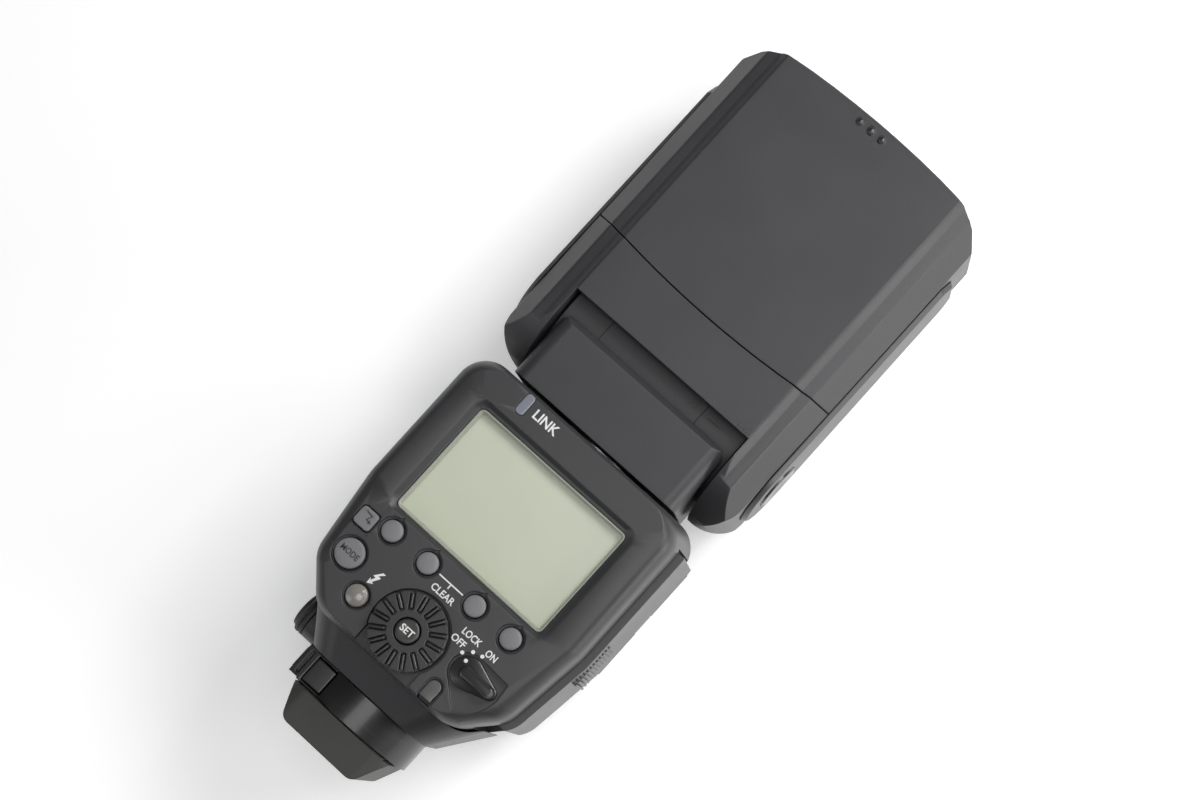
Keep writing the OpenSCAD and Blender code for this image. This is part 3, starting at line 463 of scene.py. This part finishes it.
def round_button(node, name, dome, edge=0.5):
    """A moulded button with a domed or dished face and a soft rim, in place of a CAD button."""
    low, high = node_box(node)
    centre = ((low.x + high.x) / 2, low.y, (low.z + high.z) / 2)
    radius = (high.x - low.x) / 2 - FLANGE
    depth = high.y - low.y
    flange = depth - 1.0
    face = [(radius * share, dome * share ** 2) for share in (0.0, 0.2, 0.4, 0.6, 0.75)]
    rim_r = radius - edge
    start = dome * 0.75 ** 2
    rim = [(rim_r + edge * math.sin(a), start + 0.06 + edge * (1 - math.cos(a)))
           for a in (math.radians(15 * step) for step in range(0, 7))]
    back = [(radius, flange), (radius + FLANGE, flange), (radius + FLANGE, depth), (0.0, depth)]
    mesh = lathe(name, centre, (0, 1, 0), face + rim + back)
    obj = piece(name, mesh, BODY_OF[node], MATERIALS[SLOT_OF[node]], (node,))
    shade_smooth(obj)
    return obj


for number in range(1, 5):
    round_button(f"function_button_{number}", f"function_cap_{number}", 0.18)
round_button("mode_button", "mode_cap", 0.10, 0.4)
round_button("test_button", "test_cap", 0.75, 0.6)


def set_button():
    """The glossy button in the middle of the dial, with a shallow dish and a round rim."""
    low, high = node_box("set_button")
    centre = (0, low.y, (low.z + high.z) / 2)
    outer = (high.x - low.x) / 2
    radius = outer - 0.8
    rim = [(radius - 0.4 + 0.4 * math.sin(a), 0.4 * (1 - math.cos(a)))
           for a in (math.radians(15 * step) for step in range(0, 7))]
    depth = high.y - low.y
    profile = [(0, 0.10), (radius * 0.5, 0.07)] + rim
    profile += [(radius, depth - 0.7), (outer, depth - 0.7), (outer, depth), (0, depth)]
    mesh = lathe("set_cap", centre, (0, 1, 0), profile)
    shade_smooth(piece("set_cap", mesh, "set", MATERIALS["gloss_black"], ("set_button",)))


set_button()


def loft(name, loops):
    """A closed solid through loops that have the same number of points, with flat ends."""
    count = len(loops[0])
    points = [point for loop in loops for point in loop]
    faces = [tuple(range(count)), tuple(range(len(points) - 1, len(points) - 1 - count, -1))]
    for ring in range(len(loops) - 1):
        for i in range(count):
            k = (i + 1) % count
            faces.append((ring * count + i, ring * count + k, (ring + 1) * count + k, (ring + 1) * count + i))
    return mesh_from(name, points, faces)


def drop_loop(first_r, reach, second_r, inset, height, centre):
    """The outline round two circles a reach apart, drawn in by inset; height is a function of the reach."""
    r1, r2 = first_r - inset, second_r - inset
    open_angle = math.acos((r1 - r2) / reach)
    loop = []
    for k in range(25):
        a = open_angle + (2 * math.pi - 2 * open_angle) * k / 24
        loop.append((r1 * math.cos(a), r1 * math.sin(a)))
    for k in range(13):
        a = -open_angle + 2 * open_angle * k / 12
        loop.append((reach + r2 * math.cos(a), r2 * math.sin(a)))
    return [(centre[0] + along, height(along), centre[1] + across) for along, across in loop]


def power_lever():
    """The power switch: a drop-shaped plate with a grip that rises towards its tip."""
    low, high = node_box("power_switch")
    centre = (low.x + 4.2, high.z - 4.2)
    plate_y, front_y, deep = low.y + 2.2, low.y, high.y
    rows = [(0.0, deep - 1.2), (0.0, plate_y + 0.45), (0.14, plate_y + 0.16), (0.4, plate_y)]
    plate = loft("switch_plate", [drop_loop(4.2, 7.4, 1.8, inset, lambda along, y=y: y, centre)
                                  for inset, y in rows])
    grip_rows = [(0.0, 0.0), (0.0, 0.55), (0.15, 0.82), (0.45, 0.97), (0.9, 1.0)]

    def grip_height(share):
        rise = plate_y + 0.3 - front_y
        return lambda along: plate_y + 0.3 - rise * share * (0.45 + 0.55 * min(1.0, max(0.0, along / 6.0)))

    grip = loft("switch_grip", [drop_loop(1.75, 7.1, 1.65, inset, grip_height(share), centre)
                                for inset, share in grip_rows])
    gloss = MATERIALS["gloss_black"]
    shade_smooth(piece("switch_plate", plate, "switch", gloss, ("power_switch",)))
    shade_smooth(piece("switch_grip", grip, "switch", gloss))


power_lever()


def tilt_button():
    """The round tilt release, with a dished face and a ring groove."""
    low, high = node_box("tilt_release_button")
    middle = (low + high) / 2
    length = high.x - low.x
    profile = [(0, 0.55), (3.2, 0.35), (4.9, 0.0), (5.7, 0.0), (6.05, 0.15), (6.2, 0.5),
               (6.2, length - 2.3), (7.4, length - 2.3), (7.4, length - 1.0),
               (6.2, length - 1.0), (6.2, length), (0, length)]
    mesh = lathe("tilt_cap", (high.x, middle.y, middle.z), (-1, 0, 0), profile)
    shade_smooth(piece("tilt_cap", mesh, "tilt_button", MATERIALS["gloss_black"],
                       ("tilt_release_button",)))


tilt_button()


def terminal_cap():
    """The sync terminal's rubber cap, with turned steps and a finger groove."""
    low, high = node_box("terminal_cap")
    y, z = (low.y + high.y) / 2, (low.z + high.z) / 2
    length = high.x - low.x
    profile = [(0, 0.0), (4.2, 0.0), (4.8, 0.2), (5.0, 0.6), (5.0, 1.1), (5.5, 1.2), (5.9, 1.45),
               (6.0, 1.8), (6.0, 2.3), (5.75, 2.45), (5.75, 2.75), (6.0, 2.9), (6.0, 3.75),
               (2.1, 3.75), (2.1, length), (0, length)]
    mesh = lathe("terminal_plug", (low.x, y, z), (1, 0, 0), profile)
    shade_smooth(piece("terminal_plug", mesh, "cap", MATERIALS["rubber"], ("terminal_cap",)))


terminal_cap()


# ---------------------------------------------------------------- lenses and panels

CROWN_R = 225.0


def fresnel_lens():
    """The lens over the flash tube: arched across, with a sawtooth rib every millimetre."""
    low, high = node_box("flash_lens")
    thickness, ribs, steps, columns = 1.9, 26, 4, 41
    rows = ribs * steps + 1

    def spot(i, j):
        x = low.x + (high.x - low.x) * i / (columns - 1)
        y = low.y + (high.y - low.y) * j / (rows - 1)
        arch = CROWN_R - math.sqrt(CROWN_R ** 2 - x * x)
        return x, y, high.z - arch

    def top(i, j):
        x, y, z = spot(i, j)
        return x, y, z - 0.05 - 0.4 * (j % steps) / steps

    def bottom(i, j):
        x, y, z = spot(i, j)
        return x, y, z - thickness

    mesh = ribbon_slab("fresnel_lens", columns, rows, top, bottom)
    obj = piece("fresnel_lens", mesh, "head", MATERIALS["clear"], ("flash_lens",))
    shade_smooth(obj)


fresnel_lens()


def wide_diffuser():
    """The pull-out wide panel: ribbed along its length, with a plain finger tab."""
    low, high = node_box("wide_panel")
    body_top, ribs, steps = high.z - 2.0, 46, 2
    columns = ribs * steps + 1

    def top(i, j):
        x = low.x + (high.x - low.x) * i / (columns - 1)
        return x, low.y + 0.25 * (i % steps), low.z + (body_top - low.z) * (j / 2)

    def bottom(i, j):
        x = low.x + (high.x - low.x) * i / (columns - 1)
        return x, high.y, low.z + (body_top - low.z) * (j / 2)

    mesh = ribbon_slab("wide_diffuser", columns, 3, top, bottom)
    piece("wide_diffuser", mesh, "wide", MATERIALS["clear"], ("wide_panel",))
    tab = prism("wide_tab", [(-9, body_top), (9, body_top), (9, high.z - 0.8), (8.2, high.z),
                             (-8.2, high.z), (-9, high.z - 0.8)], low.y, high.y)
    shade_smooth(piece("wide_tab", tab, "wide", MATERIALS["clear"]), 0.2)


wide_diffuser()


def assist_lens():
    """The red focus-assist lens: a bowed plate with upright prisms moulded in."""
    low, high = node_box("af_assist_lens")
    columns, rows = 97, 13
    corner = 4.0

    def half_height(x):
        """The outline's half height at x, with its corners rounded."""
        reach = max(0.0, abs(x) - (high.x - corner))
        full = (high.z - low.z) / 2
        return full - corner + math.sqrt(max(0.0, corner ** 2 - reach ** 2))

    def spot(i, j, y):
        x = low.x + (high.x - low.x) * i / (columns - 1)
        z = (low.z + high.z) / 2 + half_height(x) * (2 * j / (rows - 1) - 1)
        return x, y, z

    def front(i, j):
        x = low.x + (high.x - low.x) * i / (columns - 1)
        bow = 0.5 * (x / high.x) ** 2
        inside = 0 < i < columns - 1 and 0 < j < rows - 1
        return spot(i, j, high.y - bow - (0.22 if inside and i % 2 else 0.0))

    mesh = ribbon_slab("assist_lens", columns, rows, front, lambda i, j: spot(i, j, low.y))
    obj = piece("assist_lens", mesh, "body", MATERIALS["red_lens"], ("af_assist_lens",))
    shade_smooth(obj)


assist_lens()


def rounded_loop(width, height, radius, steps=8):
    """The points of a round-cornered rectangle about the middle."""
    loop = []
    for sx, sz, start in ((1, 1, 0), (-1, 1, 90), (-1, -1, 180), (1, -1, 270)):
        for step in range(steps + 1):
            a = math.radians(start + 90 * step / steps)
            loop.append((sx * (width / 2 - radius) + radius * math.cos(a),
                         sz * (height / 2 - radius) + radius * math.sin(a)))
    return loop


def display_frame():
    """The pale moulded ring between the window and the display, sloping inwards."""
    low, high = node_box("lcd_window")
    middle = (low + high) / 2
    width, height = high.x - low.x, high.z - low.z
    rings = [(0.15, 0.12), (0.35, 0.05), (0.75, 0.75), (0.95, 1.9), (0.15, 1.9)]
    points, faces = [], []
    for inset, depth in rings:
        for x, z in rounded_loop(width - 2 * inset, height - 2 * inset, max(0.4, 1.5 - inset)):
            points.append((middle.x + x, low.y + depth, middle.z + z))
    count = len(points) // len(rings)
    for ring in range(len(rings)):
        after = (ring + 1) % len(rings)
        for i in range(count):
            k = (i + 1) % count
            faces.append((ring * count + i, ring * count + k, after * count + k, after * count + i))
    mesh = mesh_from("display_frame", points, faces)
    obj = piece("display_frame", mesh, "body", DISPLAY_RING)
    shade_smooth(obj)


display_frame()


# ---------------------------------------------------------------- legends

PANEL_Y = node_box("rear_case")[0].y
INK_PROUD = 0.02
INK_HEIGHT = 0.03


def stand_up(mesh, x, y, z):
    """Turns flat lettering to face the rear and puts it at a place."""
    mesh.transform(Matrix.Translation(mm(x, y, z)) @ Matrix.Rotation(math.radians(90), 4, "X"))


def legend(name, words, x, z, height, body="body", y=None, ink=WHITE_INK, width=None):
    """Printed words with capitals of that height, squeezed to a width if one is given."""
    curve = bpy.data.curves.new(name, "FONT")
    curve.body = words
    curve.align_x = "CENTER"
    curve.align_y = "CENTER"
    curve.size = height * MM / 0.69
    curve.extrude = INK_HEIGHT * MM
    curve.offset = height * 0.028 * MM
    curve.resolution_u = 4
    holder = bpy.data.objects.new(name + "_curve", curve)
    bpy.context.scene.collection.objects.link(holder)
    bpy.context.view_layer.update()
    mesh = bpy.data.meshes.new_from_object(holder.evaluated_get(bpy.context.evaluated_depsgraph_get()))
    mesh.materials.clear()
    mesh.name = name
    if width:
        wide = max(v.co.x for v in mesh.vertices) - min(v.co.x for v in mesh.vertices)
        mesh.transform(Matrix.Scale(width * MM / wide, 4, (1, 0, 0)))
    bpy.data.objects.remove(holder)
    stand_up(mesh, x, (PANEL_Y if y is None else y) - INK_PROUD, z)
    return piece(name, mesh, body, ink)


def mark(name, outline, body="body", y=None, ink=WHITE_INK):
    """A printed shape given by its outline in x and z."""
    front = (PANEL_Y if y is None else y) - INK_PROUD - INK_HEIGHT
    return piece(name, prism(name, outline, front, front + INK_HEIGHT), body, ink)


def dot_outline(x, z, radius, sides=20):
    """The outline of a round dot, in x and z."""
    return [(x + radius * math.cos(2 * math.pi * k / sides), z + radius * math.sin(2 * math.pi * k / sides))
            for k in range(sides)]


legend("legend_link", "LINK", -9.5, 93.1, 2.5, width=7.4)
legend("legend_clear", "CLEAR", 0.0, 45.6, 1.75, width=7.0)
legend("legend_off", "OFF", 10.5, 39.9, 1.75, width=4.1)
legend("legend_lock", "LOCK", 12.3, 42.7, 1.75, width=5.6)
legend("legend_on", "ON", 19.0, 42.4, 1.75, width=3.1)
MODE_FRONT = node_box("mode_button")[0].y
legend("legend_mode", "MODE", -23.7, 38.0, 1.5, "mode", MODE_FRONT, DARK_INK, 5.4)
SET_FRONT = node_box("set_button")[0].y
legend("legend_set", "SET", 0.0, 33.4, 1.75, "set", SET_FRONT, WHITE_INK, 3.9)

mark("clear_bracket", [(-3.9, 48.9), (3.9, 48.9), (3.9, 48.55), (0.18, 48.55), (0.18, 47.4),
                       (-0.18, 47.4), (-0.18, 48.55), (-3.9, 48.55)])
mark("flash_symbol", [(-14.2, 39.7), (-15.7, 37.7), (-14.9, 37.6), (-15.5, 36.5), (-15.9, 36.9),
                      (-15.8, 35.3), (-14.3, 36.1), (-14.9, 36.3), (-13.7, 38.3), (-14.6, 38.4),
                      (-13.3, 39.7)])
for dot_name, dot_x, dot_z in (("off_dot", 13.1, 38.5), ("lock_dot", 15.0, 40.3), ("on_dot", 17.4, 41.0)):
    mark(dot_name, dot_outline(dot_x, dot_z, 0.5))
mark("switch_dot", dot_outline(15.1, 37.6, 0.5), "switch")
LINK_FRONT = node_box("link_button")[0].y
mark("link_symbol", [(-28.3, 47.9), (-27.2, 48.5), (-27.3, 48.1), (-25.6, 47.9), (-26.3, 46.5),
                     (-25.4, 46.3), (-25.5, 45.9), (-24.5, 46.3), (-25.3, 47.0), (-25.4, 46.65),
                     (-25.9, 46.75), (-25.1, 48.2), (-27.2, 48.45), (-27.1, 48.8)],
     "link", LINK_FRONT, DARK_INK)


# ---------------------------------------------------------------- tilt scale and small mouldings

BARREL_LOW, BARREL_HIGH = node_box("hinge_barrel")
BARREL_R = (BARREL_HIGH.y - BARREL_LOW.y) / 2
TILT_Z = (BARREL_LOW.z + BARREL_HIGH.z) / 2


def barrel_seam(name, x):
    """A fine ring round the barrel, where its middle piece meets its end piece."""
    half = 0.13
    profile = [(BARREL_R - 0.3, -half), (BARREL_R + 0.03, -half), (BARREL_R + 0.03, half),
               (BARREL_R - 0.3, half), (BARREL_R - 0.3, -half)]
    mesh = lathe(name, (x, 0, TILT_Z), (1, 0, 0), profile, 128)
    shade_smooth(piece(name, mesh, "neck", SEAM_SHADE))


barrel_seam("barrel_seam_left", -16.6)
barrel_seam("barrel_seam_right", 15.4)
legend("tilt_number", "75", 12.3, 122.0, 1.9, "neck", -BARREL_R, MATERIALS["neck"])


def scale_line(name, angle):
    """A raised line across the barrel, at an angle behind the vertical."""
    a = math.radians(angle)
    out = Vector((0, -math.cos(a), math.sin(a)))
    along = Vector((0, math.sin(a), math.cos(a)))
    corners = []
    for lift in (-0.2, 0.04):
        for x in (17.0, 21.5):
            for side in (-0.14, 0.14):
                point = Vector((x, 0, TILT_Z)) + out * (BARREL_R + lift) + along * side
                corners.append(point)
    faces = [(0, 1, 3, 2), (4, 6, 7, 5), (0, 4, 5, 1), (2, 3, 7, 6), (0, 2, 6, 4), (1, 5, 7, 3)]
    piece(name, mesh_from(name, corners, faces), "neck", MATERIALS["neck"])


for line_number, line_angle in enumerate((0, 15, 30, 45, 60)):
    scale_line(f"scale_line_{line_number}", line_angle)


def block(name, low, high, body, slot, width):
    """A small moulded block between two corners, with rounded edges."""
    mesh = bpy.data.meshes.new(name)
    edit = bmesh.new()
    bmesh.ops.create_cube(edit, size=1.0)
    size, middle = Vector(high) - Vector(low), (Vector(low) + Vector(high)) / 2
    for vertex in edit.verts:
        vertex.co = Vector(vertex.co[k] * size[k] + middle[k] for k in range(3)) * MM
    edit.to_mesh(mesh)
    edit.free()
    obj = piece(name, mesh, body, MATERIALS[slot])
    shade_smooth(obj, width)
    return obj


LEVER_LOW, LEVER_HIGH = node_box("lock_lever")
RIB_FIRST, RIB_PITCH, RIB_WIDE, RIB_END = -9.8, 1.7, 0.8, 1.2
for rib in range(4):
    rib_y = RIB_FIRST + RIB_PITCH * rib
    block(f"lever_rib_{rib}", (LEVER_LOW.x - 0.35, rib_y, LEVER_LOW.z + RIB_END),
          (LEVER_LOW.x + 0.3, rib_y + RIB_WIDE, LEVER_HIGH.z - RIB_END), "lever", "gloss_black", 0.2)


def dial_ribs():
    """The glossy grip ribs that stand in the dial's slots."""
    low, high = node_box("select_dial")
    z_middle, ribs = (low.z + high.z) / 2, 16
    points, faces = [], []
    for rib in range(ribs):
        a = 2 * math.pi * (rib + 0.5) / ribs
        out, across = Vector((math.cos(a), 0, -math.sin(a))), Vector((math.sin(a), 0, math.cos(a)))
        first = len(points)
        for reach in (5.7, 9.3):
            for y, half in ((low.y + 1.5, 0.48), (low.y + 0.3, 0.48), (low.y - 0.05, 0.22)):
                for side in (-1, 1):
                    spot = out * reach + across * (side * half)
                    points.append((spot.x, y, z_middle + spot.z))
        for level in range(2):
            k = first + 2 * level
            faces += [(k, k + 2, k + 8, k + 6), (k + 1, k + 7, k + 9, k + 3)]
        faces += [(first + 4, first + 5, first + 11, first + 10), (first, first + 6, first + 7, first + 1)]
        for end in (first, first + 6):
            faces += [(end, end + 1, end + 3, end + 2), (end + 2, end + 3, end + 5, end + 4)]
    obj = piece("dial_ribs", mesh_from("dial_ribs", points, faces), "dial", MATERIALS["gloss_black"])
    shade_smooth(obj, 0.10)


dial_ribs()


def top_dots():
    """The three raised dots near the head's top edge."""
    low, high = node_box("head_rear_shell")
    for index in (-1, 0, 1):
        profile = [(0, -0.62), (0.4, -0.58), (0.75, -0.42), (1.0, -0.15), (1.06, 0.1), (1.06, 0.6),
                   (0, 0.6)]
        centre = (3.6 * index, low.y + 0.4, high.z - 3)
        mesh = lathe(f"top_dot_{index + 1}", centre, (0, 1, 0), profile, 32)
        shade_smooth(piece(f"top_dot_{index + 1}", mesh, "head", MATERIALS["gloss_black"]))


top_dots()

HEAD_LOW = node_box("head_base")[0]
TICK_FIRST, TICK_PITCH, TICK_WIDE, TICK_LOW, TICK_HIGH = 24.4, 0.9, 0.2, 124.6, 126.0
for tick in range(5):
    tick_x = TICK_FIRST + TICK_PITCH * tick
    block(f"base_tick_{tick}", (tick_x, HEAD_LOW.y - 0.04, TICK_LOW),
          (tick_x + TICK_WIDE, HEAD_LOW.y + 0.2, TICK_HIGH), "head", "head", 0.04)


def door_arrow():
    """The moulded arrow that shows which way the battery door slides."""
    x = 36.1
    outline = [(-3.0, 74.0), (3.0, 74.0), (0.0, 69.4)]
    points = [(x + lift, -6 + y, z) for lift in (-0.9, 0.35) for y, z in outline]
    faces = [(0, 1, 2), (3, 5, 4), (0, 3, 4, 1), (1, 4, 5, 2), (2, 5, 3, 0)]
    obj = piece("door_arrow", mesh_from("door_arrow", points, faces), "door", MATERIALS["case"])
    shade_smooth(obj, 0.15)


door_arrow()


# ---------------------------------------------------------------- stage, light and camera

def floor_material():
    """Matt pale paper, seen only from its upper side."""
    material, tree, shader, place = new_material("pale_paper")
    patch = add(tree, "ShaderNodeTexNoise", {"Vector": place, "Scale": 4.0, "Detail": 2.0})
    tone = ramp(tree, patch.outputs["Fac"], [(0.3, 0.82), (0.7, 0.86)])
    tree.links.new(tone, shader.inputs["Base Color"])
    shader.inputs["Roughness"].default_value = 0.9
    shader.inputs["Emission Color"].default_value = (1.0, 1.0, 1.0, 1.0)
    shader.inputs["Emission Strength"].default_value = 0.33
    behind = add(tree, "ShaderNodeNewGeometry").outputs["Backfacing"]
    shadow = add(tree, "ShaderNodeLightPath").outputs["Is Shadow Ray"]
    hidden = math_node(tree, "MAXIMUM", behind, shadow)
    clear = add(tree, "ShaderNodeBsdfTransparent").outputs["BSDF"]
    mixed = add(tree, "ShaderNodeMixShader", {0: hidden, 1: shader.outputs["BSDF"], 2: clear})
    tree.links.new(mixed.outputs["Shader"], tree.nodes["Material Output"].inputs["Surface"])
    return material


FLOOR_GAP = 0.6 * MM
FLOOR_REACH = 3000 * MM


def floor():
    """The pale sheet that the flash lies on, just in front of its front face."""
    y, reach = CAD_HIGH.y + FLOOR_GAP, FLOOR_REACH
    mesh = bpy.data.meshes.new("floor")
    mesh.from_pydata([(-reach, y, -reach), (reach, y, -reach), (reach, y, reach), (-reach, y, reach)],
                     [], [(0, 1, 2, 3)])
    mesh.materials.append(floor_material())
    obj = bpy.data.objects.new("floor", mesh)
    bpy.context.scene.collection.objects.link(obj)


floor()

CENTRE = (CAD_LOW + CAD_HIGH) / 2
VIEW_AZIMUTH = math.radians(9.1)
VIEW_ELEVATION = math.radians(-3.3)
VIEW_ROLL = math.radians(42.15)
VIEW_DISTANCE = 700 * MM
VIEW_LENS = 84.9
AIM_SHIFT_X, AIM_SHIFT_Z = -5.4 * MM, 6.3 * MM
AIM = Vector((CENTRE.x + AIM_SHIFT_X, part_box("head_rear_shell")[0].y, CENTRE.z + AIM_SHIFT_Z))


def view_axes():
    """The camera's right, up and backward directions."""
    back = Vector((math.sin(VIEW_AZIMUTH) * math.cos(VIEW_ELEVATION),
                   -math.cos(VIEW_AZIMUTH) * math.cos(VIEW_ELEVATION), math.sin(VIEW_ELEVATION)))
    right = Vector((0, 0, 1)).cross(back).normalized()
    up = back.cross(right)
    rolled_right = right * math.cos(VIEW_ROLL) + up * math.sin(VIEW_ROLL)
    rolled_up = up * math.cos(VIEW_ROLL) - right * math.sin(VIEW_ROLL)
    return rolled_right, rolled_up, back


RIGHT, UP, BACK = view_axes()


def camera():
    """A long lens at the photograph's viewing angle."""
    data = bpy.data.cameras.new("camera")
    data.lens = VIEW_LENS
    data.sensor_width = 36.0
    obj = bpy.data.objects.new("camera", data)
    bpy.context.scene.collection.objects.link(obj)
    turn = Matrix((RIGHT, UP, BACK)).transposed().to_4x4()
    obj.matrix_world = Matrix.Translation(AIM + BACK * VIEW_DISTANCE) @ turn
    bpy.context.scene.camera = obj


camera()


def area_light(name, direction, distance, size, power, colour=(1, 1, 1)):
    """A square softbox that shines at the flash from a direction."""
    data = bpy.data.lights.new(name, "AREA")
    data.shape = "SQUARE"
    data.size = size
    data.energy = power
    data.color = colour
    obj = bpy.data.objects.new(name, data)
    bpy.context.scene.collection.objects.link(obj)
    way = Vector(direction).normalized()
    turn = way.to_track_quat("Z", "Y").to_matrix().to_4x4()
    obj.matrix_world = Matrix.Translation(AIM + way * distance) @ turn


area_light("key", RIGHT * 0.6 + UP * 0.5 + BACK * 0.75, 0.75, 0.3, 3.5, (1.0, 0.99, 0.98))
area_light("near", RIGHT * 0.22 + UP * 0.03 + BACK * 0.28, 0.36, 0.16, 0.42)
area_light("side", RIGHT * 1.0 - UP * 0.55 + BACK * 0.45, 0.9, 0.4, 3.9, (1.0, 0.99, 0.97))
area_light("lens_side", BACK, 1.0, 0.5, 2.9)
area_light("fill", -RIGHT * 1.0 - UP * 0.2 + BACK * 0.6, 1.1, 0.6, 2.1, (0.97, 0.98, 1.0))
area_light("front_left", (-0.8, 1.0, 0.5), 0.9, 0.7, 2.0)
area_light("front_right", (0.9, 1.0, -0.1), 0.9, 0.7, 2.2)


def studio_world():
    """Dim surroundings that give a little light, and look pale behind the object."""
    world = bpy.data.worlds.new("studio")
    world.use_nodes = True
    tree = world.node_tree
    seen = add(tree, "ShaderNodeLightPath").outputs["Is Camera Ray"]
    strength = add(tree, "ShaderNodeMapRange", {"Value": seen, "To Min": 0.05, "To Max": 0.85})
    tree.nodes["Background"].inputs["Color"].default_value = (0.93, 0.94, 0.96, 1)
    tree.links.new(strength.outputs["Result"], tree.nodes["Background"].inputs["Strength"])
    bpy.context.scene.world = world


studio_world()
bpy.context.scene.view_settings.view_transform = "Standard"
